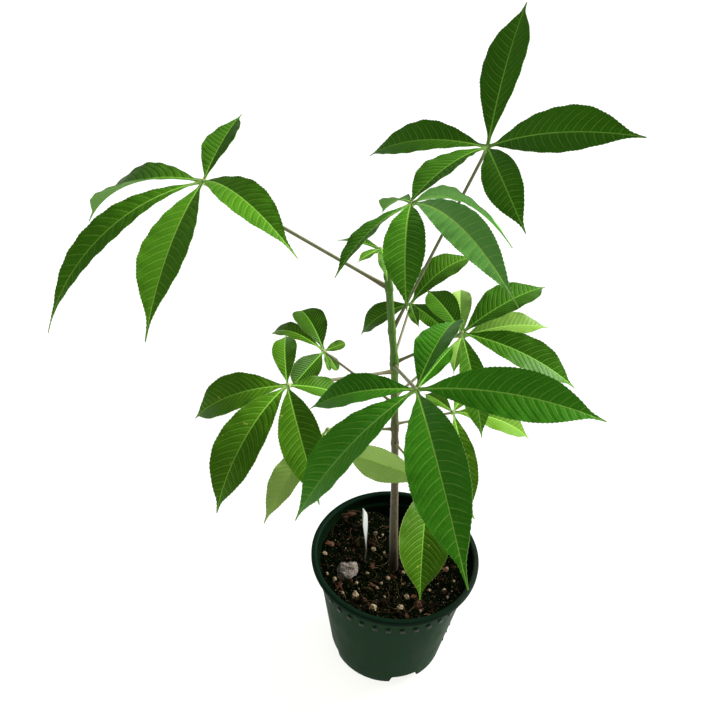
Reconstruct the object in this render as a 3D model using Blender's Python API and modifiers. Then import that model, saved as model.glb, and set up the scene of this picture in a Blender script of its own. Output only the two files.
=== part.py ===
"""A young silk floss tree with hand-shaped leaves, growing in a plastic nursery pot.

Z is up and the origin is the middle of the pot's underside. X runs to the right of the
usual viewpoint and Y runs away from it. Sizes are in millimetres until MM turns them
into metres, and angles are in degrees.
"""
import math
import random
from collections import namedtuple
from functools import partial

import bmesh
import bpy
from mathutils import Matrix, Vector, noise

MM = 0.001
GAP = 0.3
MERGE = 0.000002
SCREW_MERGE = 0.00005
POT_SHARP = 35.0
TRUNK_SHARP = 60.0
# Half the side of the square that fits in a circle of radius 1.
SQUARE_HALF = math.sqrt(0.5)

# Pot: a six inch nursery pot, tapered, with a rolled lip and a shallow band under it.
POT_HEIGHT = 130.0
LIP_RADIUS = 76.0
LIP_DEPTH = 5.0
BAND_RADIUS = 72.4
BAND_DEPTH = 6.5
WALL_TOP_RADIUS = 69.6
BASE_RADIUS = 53.5
BASE_CORNER = 7.0
WALL = 1.6
FLOOR = 2.4
LIP_ROUNDING = 0.6
BAND_STEP = 1.2
POT_SIDES = 48
NUB_COUNT = 36
NUB_TURN = -3.0
NUB_HEIGHT = 108.5
NUB_WIDTH = 4.4
NUB_STAND = 1.5
SIDE_NUB_ANGLE = -11.0
SIDE_NUB_HEIGHTS = (46.0, 34.0, 20.0)
NOTCH_COUNT = 4
NOTCH_WIDTH = 31.0
NOTCH_HEIGHT = 16.5
NOTCH_REACH = 14.0
NOTCH_TAPER = 0.8
NOTCH_TURN = -71.0

# Soil: a loose dark mix below the lip. It slopes up to the left, with a heap at the left
# and a hollow at the right by the back wall. Each mound has its place, its rise and its reach.
SOIL_TOP = 110.0
SOIL_RINGS = 9
SOIL_SLOPE = (-0.12, 0.0)
SOIL_MOUNDS = ((-44.0, 44.0, 6.0, 18.0), (8.0, 62.0, -15.0, 17.0))
SOIL_ROUGHNESS = 1.5
SOIL_GRAIN = 11.0
CRUMB_SHARE = 0.6
GRAIN_COUNT = 22
GRAIN_SIZES = (1.8, 3.4)
GRAIN_SPACE = 1.0
GRAIN_REACH = 56.0
GRAIN_SUNK = 0.25
GRAIN_WIDTHS = (0.6, 0.9)
GRAIN_FLATNESS = 0.7
LUMP_PLACE = (-42.0, -15.0)
LUMP_SIZE = 9.5
SOIL_SHOULDER = 2.0
TRUNK_CLEARANCE = 12.0
LABEL_CLEARANCE = 15.0

# Trunk: its line from below the soil to the growing tip, and its radius at five heights.
TRUNK_LINE = (
    (0.0, -1.0, 84.0),
    (0.0, -1.0, 109.0),
    (-3.5, -2.5, 160.0),
    (-7.0, -4.0, 218.0),
    (-11.5, -4.0, 280.0),
    (-17.0, -4.0, 348.0),
    (-20.6, -4.0, 374.0),
    (-26.0, -4.0, 415.0),
    (-31.0, -3.0, 443.0),
)
TRUNK_RADII = ((84, 3.6), (109, 4.3), (218, 3.2), (280, 2.8), (418, 2.6), (434, 1.9), (443, 0.9))
TRUNK_STEP = 10.0
CLOSEST_RINGS = 2.0
TRUNK_SIDES = 2
NODE_SWELL = 0.55
NODE_LENGTH = 3.5

# Plant label: a thin bare stake, set nearly edge-on to the viewpoint and a little twisted.
LABEL_FOOT = (-27.5, 2.0)
LABEL_HEIGHT = 68.0
LABEL_DEPTH = 26.0
LABEL_WIDTH = 15.0
LABEL_NECK = 6.0
LABEL_THICKNESS = 1.0
LABEL_TURN = 90.0
LABEL_TWIST = -24.0
LABEL_TWIST_FROM = 0.35
LABEL_BOW = 2.5
LABEL_LEAN = (-4.3, 3.0)
LABEL_SHAPE = ((-0.4, 2.0), (0.0, LABEL_NECK), (0.4, LABEL_WIDTH), (0.85, LABEL_WIDTH), (1.0, 7.0))
LABEL_HEIGHTS = (-8.0, 0.0, 12.0, 26.0, 41.0, 56.0, LABEL_HEIGHT)
LABEL_SOCKET_ROWS = 4

# Leaflets: half widths along the midrib, as shares of the widest one.
POINTED = (
    (0.0, 0.08), (0.07, 0.10), (0.15, 0.32), (0.28, 0.66), (0.42, 0.92), (0.55, 1.0),
    (0.67, 0.92), (0.78, 0.68), (0.87, 0.36), (0.92, 0.17), (1.0, 0.05),
)
ROUND = (
    (0.0, 0.08), (0.12, 0.12), (0.25, 0.45), (0.42, 0.82), (0.60, 1.0), (0.75, 0.98),
    (0.87, 0.80), (0.95, 0.50), (1.0, 0.15),
)
BLADE = 0.8
RIB = 0.5
ROOT_SHARE = 0.15
TOOTHED = (0.15, 0.92)
TIP_HALF = 0.4
FEWEST_STATIONS = 6
FOLD = 12.0
STATION = 6.6
TOOTH = 0.45
WAVE = 0.9
WAVE_TURNS = 2.5
PHASE_STEP = 1.7
HUB_RADIUS = 2.4
STALK_HALF = 0.9
PETIOLE_SIDES = 1
PETIOLE_POINTS = 12
CUSHION_SWELL = 0.6
CUSHION_REACH = 0.09

# A leaf's hub is where its leaflets meet. It stands on a stalk from the trunk at height node.
# The hub's face leans by tilt towards the compass angle faces, counted from X towards Y.
# Each leaflet has its compass angle, its lift above the face at the hub, the angle that it
# then arches over, its length, its width and how far it rolls about its own midrib.
Leaf = namedtuple("Leaf", "name hub node faces tilt stalk outline colour leaflets")
LEAVES = (
    Leaf("leaf_top_left", (-153, 12, 473), 410, -170, 20, 1.3, POINTED, "deep", (
        (79, 12, 16, 88, 27, 0), (166, 23, 64, 114, 45, 10), (-146, 18, 68, 150, 26, -20),
        (-102, 0, 28, 131, 36, -5), (-50, 18, 70, 109, 28, -5))),
    Leaf("leaf_top_right", (33, 30, 502), 374, -160, 30, 1.1, POINTED, "deep", (
        (61, 28, 17, 113, 33, 0), (-38, 21, 30, 115, 33, 20), (-83, 16, 40, 94, 25, 10),
        (-126, 32, 30, 88, 29, 0), (150, 22, 45, 102, 32, -5))),
    Leaf("leaf_top_front", (-18, -60, 501), 420, 112, 29, 1.1, POINTED, "bright", (
        (-60, 13, 61, 98, 16, -40), (-72, -2, 40, 140, 20, 30), (-100, -17, 60, 79, 24, 0),
        (-135, -12, 33, 73, 18, 0), (110, 18, 40, 56, 16, 0))),
    Leaf("leaf_back_small", (-5, 56, 360), 351, -145, 30, 1.0, POINTED, "deep", (
        (40, 19, 60, 72, 30, 0), (-174, 12, 57, 53, 24, 0), (-77, 30, 38, 33, 9, 0),
        (-53, 19, 41, 49, 16, 0))),
    Leaf("leaf_shoot_tip", (-33, -8, 442), 429, 66, 11, 1.0, POINTED, "bright", (
        (142, 2, 20, 38, 12, 0), (-123, 2, 18, 27, 8, 0), (-80, 10, 53, 35, 11, 0))),
    Leaf("leaf_right", (31, 5, 370), 346, -105, 24, 1.2, POINTED, "deep", (
        (119, 11, 43, 54, 23, 0), (37, 14, 46, 85, 36, -20), (-22, 14, 59, 95, 29, 0),
        (-79, 8, 67, 82, 22, 0))),
    Leaf("leaf_front", (-6, -95, 394), 343, -122, 17, 1.3, POINTED, "deep", (
        (69, 14, 56, 83, 32, -25), (-15, 23, 46, 116, 32, 25), (-80, 28, 38, 145, 36, 20),
        (-141, 3, 53, 114, 40, 20), (172, 1, 45, 80, 28, 5), (60, -4, 14, 50, 14, 0))),
    Leaf("leaf_pale_right", (38, 50, 335), 314, -130, 20, 1.1, POINTED, "pale", (
        (88, 29, 66, 60, 20, 0), (13, 10, 48, 76, 26, 0), (-102, 29, 47, 41, 12, 0),
        (155, 5, 45, 38, 15, 0))),
    Leaf("leaf_left", (-91, -48, 353), 338, -113, 22, 1.2, POINTED, "deep", (
        (99, 9, 50, 58, 19, 0), (-171, 16, 66, 79, 33, 0), (-118, 28, 80, 106, 34, 0),
        (-73, 23, 52, 94, 29, 5), (7, -11, 50, 47, 19, 0))),
    Leaf("leaf_left_small", (-72, 40, 320), 306, -63, 26, 1.0, ROUND, "bright", (
        (118, 11, 50, 50, 27, 0), (149, 9, 75, 58, 17, 0), (-117, 21, 18, 46, 21, 0),
        (32, 18, 19, 19, 9, 0), (-44, 5, 30, 19, 9, 0), (-65, 5, 25, 17, 5, 0))),
    Leaf("leaf_right_low", (34, 10, 290), 286, -108, 15, 1.0, POINTED, "pale", (
        (131, 3, 40, 36, 14, 0), (-6, 10, 66, 72, 27, 0), (-80, 10, 65, 85, 20, -5),
        (60, 5, 50, 36, 14, 0))),
    Leaf("leaf_low_front", (15, -55, 276), 266, -112, 36, 1.0, POINTED, "pale", (
        (-96, 30, 50, 88, 38, -20), (157, 10, 38, 76, 27, -25), (-40, 0, 50, 46, 18, 0))),
    Leaf("leaf_left_low", (-64, -10, 281), 281, -132, 20, 1.1, POINTED, "pale", (
        (-127, 10, 45, 89, 27, 5), (5, 5, 50, 40, 14, 0))),
)
GREENS = {
    "deep": (0.035, 0.115, 0.012, 1.0),
    "bright": (0.070, 0.200, 0.025, 1.0),
    "pale": (0.190, 0.330, 0.040, 1.0),
}

SEED = 11


def clear_scene():
    for thing in list(bpy.data.objects):
        bpy.data.objects.remove(thing, do_unlink=True)


def new_collection(name, parent=None):
    made = bpy.data.collections.new(name)
    (parent or bpy.context.scene.collection).children.link(made)
    return made


def new_material(name, colour, roughness, metallic=0.0):
    material = bpy.data.materials.new(name)
    material.use_nodes = True
    shader = material.node_tree.nodes["Principled BSDF"]
    shader.inputs["Base Color"].default_value = colour
    shader.inputs["Roughness"].default_value = roughness
    shader.inputs["Metallic"].default_value = metallic
    return material


def mesh_object(name, points, faces, collection, edges=()):
    """An object in the given collection, from points in millimetres."""
    mesh = bpy.data.meshes.new(name)
    mesh.from_pydata([Vector(point) * MM for point in points], edges, faces)
    made = bpy.data.objects.new(name, mesh)
    collection.objects.link(made)
    return made


def bmesh_object(name, build, collection):
    """An object whose mesh build(bm) fills in metres."""
    bm = bmesh.new()
    build(bm)
    mesh = bpy.data.meshes.new(name)
    bm.to_mesh(mesh)
    bm.free()
    made = bpy.data.objects.new(name, mesh)
    collection.objects.link(made)
    return made


def settled(source, name, material=None):
    """Replaces an object by a plain mesh of what its modifiers or its curve make."""
    bpy.context.view_layer.update()
    evaluated = source.evaluated_get(bpy.context.evaluated_depsgraph_get())
    mesh = bpy.data.meshes.new_from_object(evaluated)
    mesh.name = name
    bm = bmesh.new()
    bm.from_mesh(mesh)
    bmesh.ops.remove_doubles(bm, verts=bm.verts, dist=MERGE)
    bm.to_mesh(mesh)
    bm.free()
    made = bpy.data.objects.new(name, mesh)
    made.matrix_world = source.matrix_world
    for collection in source.users_collection:
        collection.objects.link(made)
    bpy.data.objects.remove(source, do_unlink=True)
    made.name = name
    if material:
        mesh.materials.clear()
        mesh.materials.append(material)
    return made


def boolean(target, operation, tool):
    """Adds a Boolean of target with an object or with every object of a collection."""
    modifier = target.modifiers.new(operation.lower(), "BOOLEAN")
    modifier.operation = operation
    modifier.solver = "EXACT"
    if isinstance(tool, bpy.types.Collection):
        modifier.operand_type = "COLLECTION"
        modifier.collection = tool
    else:
        modifier.object = tool
    return modifier


def empty_collection(collection):
    for thing in list(collection.objects):
        bpy.data.objects.remove(thing, do_unlink=True)


def as_cutter(thing):
    thing.hide_render = True
    thing.display_type = "WIRE"
    return thing


def turned(name, profile, collection):
    """Turns a profile round the Z axis. It starts on the axis, goes out, down and back."""
    edges = [(index, index + 1) for index in range(len(profile) - 1)]
    made = mesh_object(name, [(radius, 0.0, z) for radius, z in profile], [], collection, edges)
    screw = made.modifiers.new("turn", "SCREW")
    screw.axis = "Z"
    screw.steps = POT_SIDES
    screw.render_steps = POT_SIDES
    screw.use_merge_vertices = True
    screw.merge_threshold = SCREW_MERGE
    return made


def shade_round(thing, sharp):
    thing.data.shade_smooth()
    thing.data.set_sharp_from_angle(angle=math.radians(sharp))


def wall_radius(z):
    """The outer radius of the pot's plain wall at a height."""
    top = POT_HEIGHT - LIP_DEPTH - BAND_DEPTH
    return BASE_RADIUS + (WALL_TOP_RADIUS - BASE_RADIUS) * (z - BASE_CORNER) / (top - BASE_CORNER)


def inner_radius(z):
    return wall_radius(z) - WALL


def pot_profile():
    band_top = POT_HEIGHT - LIP_DEPTH
    band_low = band_top - BAND_DEPTH
    soft = LIP_ROUNDING
    inner_corner = BASE_CORNER + WALL / 2.0
    return [
        (0.0, FLOOR),
        (BASE_RADIUS - BASE_CORNER, FLOOR),
        (inner_radius(inner_corner), inner_corner),
        (inner_radius(band_low), band_low),
        (BAND_RADIUS - WALL, band_low + BAND_STEP),
        (BAND_RADIUS - WALL, POT_HEIGHT - 4.0 * soft),
        (BAND_RADIUS - soft, POT_HEIGHT - soft),
        (LIP_RADIUS - 3.0 * soft, POT_HEIGHT),
        (LIP_RADIUS - soft, POT_HEIGHT - 1.5 * soft),
        (LIP_RADIUS, POT_HEIGHT - 4.0 * soft),
        (LIP_RADIUS - soft, band_top + soft),
        (BAND_RADIUS + soft, band_top),
        (BAND_RADIUS, band_low + BAND_STEP),
        (wall_radius(band_low), band_low),
        (BASE_RADIUS, BASE_CORNER),
        (BASE_RADIUS - BASE_CORNER, 0.0),
        (0.0, 0.0),
    ]


def box_around(name, size, angle, radius, z, collection):
    """A box of the given depth, width and height, centred at a place round the pot."""
    turn = Matrix.Rotation(math.radians(angle), 4, "Z")
    place = turn @ Matrix.Translation(Vector((radius, 0.0, z)) * MM)
    stretch = Matrix.Diagonal((*(Vector(size) * MM), 1.0))
    build = partial(bmesh.ops.create_cube, size=1.0, matrix=place @ stretch)
    return bmesh_object(name, build, collection)


def notch_block(name, angle, collection):
    """A block that narrows upwards, to cut a drain notch out of the wall and the floor."""
    depth = NOTCH_HEIGHT + GAP
    turn = Matrix.Rotation(math.radians(angle), 4, "Z")
    middle = Vector((BASE_RADIUS, 0.0, NOTCH_HEIGHT - depth / 2.0)) * MM
    reach, half = NOTCH_REACH / SQUARE_HALF, NOTCH_WIDTH / 2.0 / SQUARE_HALF
    stretch = Matrix.Diagonal((reach * MM, half * MM, depth * MM, 1.0))
    square = Matrix.Rotation(math.radians(45.0), 4, "Z")
    matrix = turn @ Matrix.Translation(middle) @ stretch @ square
    build = partial(bmesh.ops.create_cone, cap_ends=True, segments=4, radius1=1.0,
                    radius2=NOTCH_TAPER, depth=1.0, matrix=matrix)
    return bmesh_object(name, build, collection)


def make_pot(collection, cutters):
    material = new_material("pot_plastic", (0.016, 0.033, 0.022, 1.0), 0.42)
    pot = settled(turned("pot", pot_profile(), collection), "pot")
    studs = new_collection("pot_studs", cutters)
    places = [(NUB_TURN + 360.0 * index / NUB_COUNT, NUB_HEIGHT) for index in range(NUB_COUNT)]
    places += [(SIDE_NUB_ANGLE, height) for height in SIDE_NUB_HEIGHTS]
    stud = (2.0 * NUB_STAND, NUB_WIDTH, NUB_WIDTH)
    for index, (angle, height) in enumerate(places):
        box_around("stud_%d" % index, stud, angle, wall_radius(height), height, studs)
    boolean(pot, "UNION", studs)
    notches = new_collection("pot_notches", cutters)
    for index in range(NOTCH_COUNT):
        notch_block("notch_%d" % index, NOTCH_TURN + 360.0 * index / NOTCH_COUNT, notches)
    boolean(pot, "DIFFERENCE", notches)
    pot = settled(pot, "pot", material)
    empty_collection(studs)
    empty_collection(notches)
    shade_round(pot, POT_SHARP)
    return pot


def soil_height(x, y):
    """The soil's surface: a slope, two mounds, soft heaps and crumbs, from seeded noise."""
    height = SOIL_TOP + SOIL_SLOPE[0] * x + SOIL_SLOPE[1] * y
    for place_x, place_y, rise, reach in SOIL_MOUNDS:
        away = math.hypot(x - place_x, y - place_y) / reach
        height += rise * math.exp(-away * away)
    heaps = noise.noise(Vector((x, y, SEED)) / (2.0 * SOIL_GRAIN))
    crumbs = noise.noise(Vector((x, y, SEED)) * 2.0 / SOIL_GRAIN)
    return height + SOIL_ROUGHNESS * (heaps + CRUMB_SHARE * crumbs)


def soil_profile():
    low = FLOOR + GAP
    edge = inner_radius(SOIL_TOP) - GAP
    top = [(edge * index / SOIL_RINGS, SOIL_TOP) for index in range(SOIL_RINGS + 1)]
    shoulder = NOTCH_HEIGHT + SOIL_SHOULDER
    foot = BASE_RADIUS - NOTCH_REACH - SOIL_SHOULDER
    return top + [(inner_radius(shoulder) - GAP, shoulder), (foot, low), (0.0, low)]


def raise_soil(mesh):
    """Shapes the flat top, and keeps its rim at the wall's slope."""
    edge = inner_radius(SOIL_TOP) - GAP
    for vertex in mesh.vertices:
        if vertex.co.z < (SOIL_TOP - GAP) * MM:
            continue
        x, y = vertex.co.x / MM, vertex.co.y / MM
        height = soil_height(x, y)
        radius = math.hypot(x, y)
        if radius > edge - GAP:
            x, y = (value * (inner_radius(height) - GAP) / radius for value in (x, y))
        vertex.co = Vector((x, y, height)) * MM


def grain_places(draw):
    """Spots and sizes for loose crumbs, clear of each other, of the trunk and of the label."""
    places = [(*LUMP_PLACE, LUMP_SIZE)]
    while len(places) < GRAIN_COUNT:
        reach = GRAIN_REACH * math.sqrt(draw.random())
        angle = draw.uniform(0.0, math.tau)
        x, y = reach * math.cos(angle), reach * math.sin(angle)
        size = draw.uniform(*GRAIN_SIZES)
        spaced = all(math.hypot(x - a, y - b) > size + c + GRAIN_SPACE for a, b, c in places)
        from_label = math.hypot(x - LABEL_FOOT[0], y - LABEL_FOOT[1])
        if spaced and math.hypot(x, y) > TRUNK_CLEARANCE and from_label > LABEL_CLEARANCE:
            places.append((x, y, size))
    return places


def add_grain(name, x, y, size, draw, collection):
    """A small rounded crumb, half sunk in the soil."""
    place = Matrix.Translation(Vector((x, y, soil_height(x, y) + GRAIN_SUNK * size)) * MM)
    turn = Matrix.Rotation(draw.uniform(0.0, math.tau), 4, "Z")
    stretch = Matrix.Diagonal((size, size * draw.uniform(*GRAIN_WIDTHS), size * GRAIN_FLATNESS, 1.0))
    matrix = place @ turn @ stretch
    build = partial(bmesh.ops.create_icosphere, subdivisions=1, radius=MM, matrix=matrix)
    return bmesh_object(name, build, collection)


def make_soil(collection, cutters, trunk_room, label_room):
    material = new_material("potting_soil", (0.018, 0.012, 0.008, 1.0), 0.95)
    soil = settled(turned("soil", soil_profile(), collection), "soil")
    raise_soil(soil.data)
    draw = random.Random(SEED)
    grains = new_collection("soil_grains", cutters)
    for index, (x, y, size) in enumerate(grain_places(draw)):
        add_grain("grain_%d" % index, x, y, size, draw, grains)
    boolean(soil, "UNION", grains)
    boolean(soil, "DIFFERENCE", trunk_room)
    boolean(soil, "DIFFERENCE", label_room)
    soil = settled(soil, "soil", material)
    empty_collection(grains)
    return soil


def between(table, value):
    """Reads a value from a table of pairs, straight between its rows."""
    for (low, first), (high, second) in zip(table, table[1:]):
        if value <= high:
            share = (value - low) / (high - low)
            return first + (second - first) * max(share, 0.0)
    return table[-1][1]


def smooth_line(points, height):
    """A point on a smooth line through points that rise, at the given height."""
    rows = [Vector(point) for point in points]
    index = 0
    while index < len(rows) - 2 and rows[index + 1].z < height:
        index += 1
    before = rows[max(index - 1, 0)]
    start, end = rows[index], rows[index + 1]
    after = rows[min(index + 2, len(rows) - 1)]
    share = (height - start.z) / (end.z - start.z)
    span = end.z - start.z
    leave = (end - before) * (span / (end.z - before.z))
    arrive = (after - start) * (span / (after.z - start.z))
    square, cube = share * share, share * share * share
    line = (
        start * (2 * cube - 3 * square + 1)
        + leave * (cube - 2 * square + share)
        + end * (3 * square - 2 * cube)
        + arrive * (cube - square)
    )
    return Vector((line.x, line.y, height))


def trunk_radius(height):
    """The trunk's radius, with a low ring where each leaf stalk joins."""
    radius = between(TRUNK_RADII, height)
    for leaf in LEAVES:
        offset = (height - leaf.node) / NODE_LENGTH
        radius += NODE_SWELL * math.exp(-offset * offset)
    return radius


def tube(name, points, radii, collection, resolution=PETIOLE_SIDES):
    """A bevelled curve through points with a radius at each, made into a mesh."""
    data = bpy.data.curves.new(name, "CURVE")
    data.dimensions = "3D"
    data.bevel_depth = MM
    data.bevel_resolution = resolution
    data.use_fill_caps = True
    spline = data.splines.new("POLY")
    spline.points.add(len(points) - 1)
    for spot, point, radius in zip(spline.points, points, radii):
        spot.co = (*(Vector(point) * MM), 1.0)
        spot.radius = radius
    made = bpy.data.objects.new(name, data)
    collection.objects.link(made)
    return settled(made, name)


def trunk_heights():
    low, high = TRUNK_LINE[0][2], TRUNK_LINE[-1][2]
    count = round((high - low) / TRUNK_STEP)
    heights = {low + (high - low) * index / count for index in range(count + 1)}
    heights |= {float(leaf.node) for leaf in LEAVES}
    rows = sorted(heights)
    spaced = [rows[0]]
    for height in rows[1:]:
        if height - spaced[-1] > CLOSEST_RINGS:
            spaced.append(height)
    return spaced


def make_trunk(collection, cutters):
    """The trunk, and the room that it needs in the soil and among the leaf stalks."""
    heights = trunk_heights()
    points = [smooth_line(TRUNK_LINE, height) for height in heights]
    radii = [trunk_radius(height) for height in heights]
    trunk = tube("trunk", points, radii, collection, TRUNK_SIDES)
    trunk.data.materials.append(new_material("trunk_bark", (0.105, 0.085, 0.050, 1.0), 0.8))
    shade_round(trunk, TRUNK_SHARP)
    points[0] = points[0] - Vector((0.0, 0.0, GAP))
    points[-1] = points[-1] + Vector((0.0, 0.0, GAP))
    room = tube("trunk_room", points, [radius + GAP for radius in radii], cutters, TRUNK_SIDES)
    return trunk, as_cutter(room)


def label_section(height, spare):
    """The four corners of the label at a height above the soil."""
    share = height / LABEL_HEIGHT
    width = between(LABEL_SHAPE, share)
    turn = math.radians(LABEL_TURN + LABEL_TWIST * max(share - LABEL_TWIST_FROM, 0.0))
    wide = Vector((math.cos(turn), math.sin(turn), 0.0)) * (width / 2.0 + spare)
    thick = Vector((-math.sin(turn), math.cos(turn), 0.0)) * (LABEL_THICKNESS / 2.0 + spare)
    above = max(share, 0.0)
    bow = 4.0 * LABEL_BOW * above * (1.0 - above)
    lean = Vector((LABEL_LEAN[0] * above + bow, LABEL_LEAN[1] * above, 0.0))
    middle = Vector((LABEL_FOOT[0], LABEL_FOOT[1], SOIL_TOP + height)) + lean
    return [middle + wide + thick, middle - wide + thick, middle - wide - thick, middle + wide - thick]


def loft(rings):
    """Points and triangles of a closed solid through rings of equally many points."""
    count = len(rings[0])
    points = [point for ring in rings for point in ring]
    faces = []
    for start in range(0, (len(rings) - 1) * count, count):
        for index in range(count):
            a, b = start + index, start + (index + 1) % count
            c, d = b + count, a + count
            # Both faces of a blade are split along the same slant, so they can't cross.
            same = index < count // 2
            faces += [(a, b, c), (a, c, d)] if same else [(a, b, d), (b, c, d)]
    faces.append(tuple(reversed(range(count))))
    faces.append(tuple(range(len(points) - count, len(points))))
    return points, faces


def make_label(collection, cutters):
    rows = (-LABEL_DEPTH, *LABEL_HEIGHTS)
    points, faces = loft([label_section(height, 0.0) for height in rows])
    label = mesh_object("plant_label", points, faces, collection)
    label.data.materials.append(new_material("label_plastic", (0.72, 0.76, 0.78, 1.0), 0.45))
    rows = (-LABEL_DEPTH - GAP, *LABEL_HEIGHTS[:LABEL_SOCKET_ROWS])
    points, faces = loft([label_section(height, GAP) for height in rows])
    return label, as_cutter(mesh_object("label_room", points, faces, cutters))


def leaf_axes(leaf):
    """The hub's frame: down its slope, level across it, and out of its face."""
    faces, tilt = math.radians(leaf.faces), math.radians(leaf.tilt)
    towards = Vector((math.cos(faces), math.sin(faces), 0.0))
    up = Vector((0.0, 0.0, 1.0))
    down = towards * math.cos(tilt) - up * math.sin(tilt)
    return down, up.cross(towards), up * math.cos(tilt) + towards * math.sin(tilt)


def blade_sections(leaf, leaflet, phase):
    """Rings of a folded, arched and waved blade, from its stalk at the hub to its tip."""
    compass, lift, droop, length, width, roll = leaflet
    down, side, face = leaf_axes(leaf)
    turn = math.radians(compass - leaf.faces)
    ahead = down * math.cos(turn) + side * math.sin(turn)
    level = face.cross(ahead)
    lift, droop = math.radians(lift), math.radians(droop)
    fold, roll = math.radians(FOLD), math.radians(roll)
    stations = max(FEWEST_STATIONS, round(length / STATION))
    rings = []
    for index in range(stations + 1):
        share = (index + ROOT_SHARE) / (stations + ROOT_SHARE)
        pitch = lift - droop * share
        along = length * (math.sin(lift) - math.sin(pitch)) / droop
        above = length * (math.cos(pitch) - math.cos(lift)) / droop
        spot = Vector(leaf.hub) + ahead * along + face * above
        upright = face * math.cos(pitch) - ahead * math.sin(pitch)
        across = level * math.cos(roll) + upright * math.sin(roll)
        normal = upright * math.cos(roll) - level * math.sin(roll)
        half = max(width / 2.0 * between(leaf.outline, share), STALK_HALF if share < 0.5 else TIP_HALF)
        body = math.sin(math.pi * share)
        if TOOTHED[0] < share < TOOTHED[1]:
            half += TOOTH * (-1) ** index
        ring = []
        for hand in (1, -1):
            wave = WAVE * body * math.sin(math.tau * WAVE_TURNS * share + phase + hand)
            rise = half * math.sin(fold) + wave * half / width
            ring.append(spot + across * hand * half * math.cos(fold) + normal * rise)
        left, right = ring
        skin, drop = normal * (BLADE / 2.0), normal * (BLADE / 2.0 + RIB)
        rings.append([left + skin, spot + skin, right + skin, right - skin, spot - drop, left - skin])
    return [ring[::-1] for ring in rings]


def stalk_path(leaf):
    """The leaf stalk's points and radii, from the middle of the trunk to the hub."""
    start = smooth_line(TRUNK_LINE, leaf.node)
    points, radii = [], []
    for index in range(PETIOLE_POINTS + 1):
        share = index / PETIOLE_POINTS
        points.append(start.lerp(Vector(leaf.hub), share))
        cushion = CUSHION_SWELL * math.exp(-((share / CUSHION_REACH) ** 2))
        radii.append(leaf.stalk * (1.0 + cushion))
    return points, radii


def make_leaf(leaf, number, collection, cutters, trunk_room, material):
    """One compound leaf: its stalk, hub and leaflets, joined as one body off the trunk."""
    pieces = new_collection(leaf.name + "_pieces", cutters)
    for index, leaflet in enumerate(leaf.leaflets):
        points, faces = loft(blade_sections(leaf, leaflet, PHASE_STEP * index + number))
        mesh_object("blade_%d" % index, points, faces, pieces)
    knob = Matrix.Translation(Vector(leaf.hub) * MM)
    ball = partial(bmesh.ops.create_icosphere, subdivisions=1, radius=HUB_RADIUS * MM, matrix=knob)
    bmesh_object("hub", ball, pieces)
    points, radii = stalk_path(leaf)
    stalk = tube(leaf.name, points, radii, collection)
    boolean(stalk, "UNION", pieces)
    boolean(stalk, "DIFFERENCE", trunk_room)
    made = settled(stalk, leaf.name, material)
    empty_collection(pieces)
    return made


def main():
    clear_scene()
    parts = new_collection("potted_silk_floss_tree")
    cutters = new_collection("cutters")
    make_pot(parts, cutters)
    trunk, trunk_room = make_trunk(parts, cutters)
    label, label_room = make_label(parts, cutters)
    make_soil(parts, cutters, trunk_room, label_room)
    greens = {name: new_material("leaf_" + name, colour, 0.45) for name, colour in GREENS.items()}
    for number, leaf in enumerate(LEAVES):
        make_leaf(leaf, number, parts, cutters, trunk_room, greens[leaf.colour])
    cutters.hide_render = True


main()
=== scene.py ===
"""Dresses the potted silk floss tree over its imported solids, and sets its floor, light and camera.

Each piece keeps the place, the size and the lines of the solid that it stands for. The leaves
get thin blades with fine teeth, pale midribs and side veins. The pot gets a rounded lip and
soft studs, the soil its crumbs, bark, perlite and straws, and the trunk its bark. Sizes are in
millimetres until MM turns them into metres, and angles are in degrees.
"""
import math
import random
from collections import namedtuple

import bmesh
import bpy
from mathutils import Matrix, Vector, noise

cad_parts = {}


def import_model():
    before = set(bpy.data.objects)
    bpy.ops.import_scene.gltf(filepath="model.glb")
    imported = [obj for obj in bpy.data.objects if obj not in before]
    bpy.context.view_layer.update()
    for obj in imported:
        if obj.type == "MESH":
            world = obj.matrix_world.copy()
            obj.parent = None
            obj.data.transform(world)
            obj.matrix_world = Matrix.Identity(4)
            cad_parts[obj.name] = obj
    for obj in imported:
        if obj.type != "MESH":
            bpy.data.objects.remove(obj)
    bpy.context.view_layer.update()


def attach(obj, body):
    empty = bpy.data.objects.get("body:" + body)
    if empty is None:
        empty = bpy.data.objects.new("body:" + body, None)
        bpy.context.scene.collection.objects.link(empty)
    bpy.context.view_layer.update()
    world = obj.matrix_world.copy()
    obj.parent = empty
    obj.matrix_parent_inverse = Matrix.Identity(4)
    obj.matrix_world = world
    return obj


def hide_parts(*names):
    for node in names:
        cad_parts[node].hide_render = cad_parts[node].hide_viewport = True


MM = 0.001
# The colour sockets of a Mix node, which has others for numbers and places.
MIX_COLOURS = (6, 7)
MIX_RESULT = 2

# Camera: its place, its angle below the level, its roll, and the photo's focal length in pixels.
CAMERA_PLACE = (-40.0, -480.0, 700.0)
CAMERA_DOWN = 36.8
CAMERA_ROLL = 3.65
FOCAL_PIXELS = 800.0
PHOTO_PIXELS = 726.0
SENSOR = 36.0

# Light: a wide soft key from the right and behind, a fill from the same side that casts no
# shadow, a weak lamp overhead and a pale world. Each lamp comes from a direction, and spread
# is the angle that its soft disc fills.
FLOOR_SIZE = 12000.0
WORLD_COLOUR = (0.97, 0.985, 1.0, 1.0)
WORLD_STRENGTH = 0.24
KEY_SIDE = (0.78, 0.42, 0.48)
Lamp = namedtuple("Lamp", "name towards spread strength colour shadow")
LAMPS = (
    Lamp("key", KEY_SIDE, 30.0, 1.2, (1.0, 0.985, 0.94), True),
    Lamp("fill", KEY_SIDE, 30.0, 5.8, (1.0, 0.985, 0.94), False),
    Lamp("top", (-0.1, 0.0, 1.0), 90.0, 0.15, (0.95, 0.98, 1.0), True),
)

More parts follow.
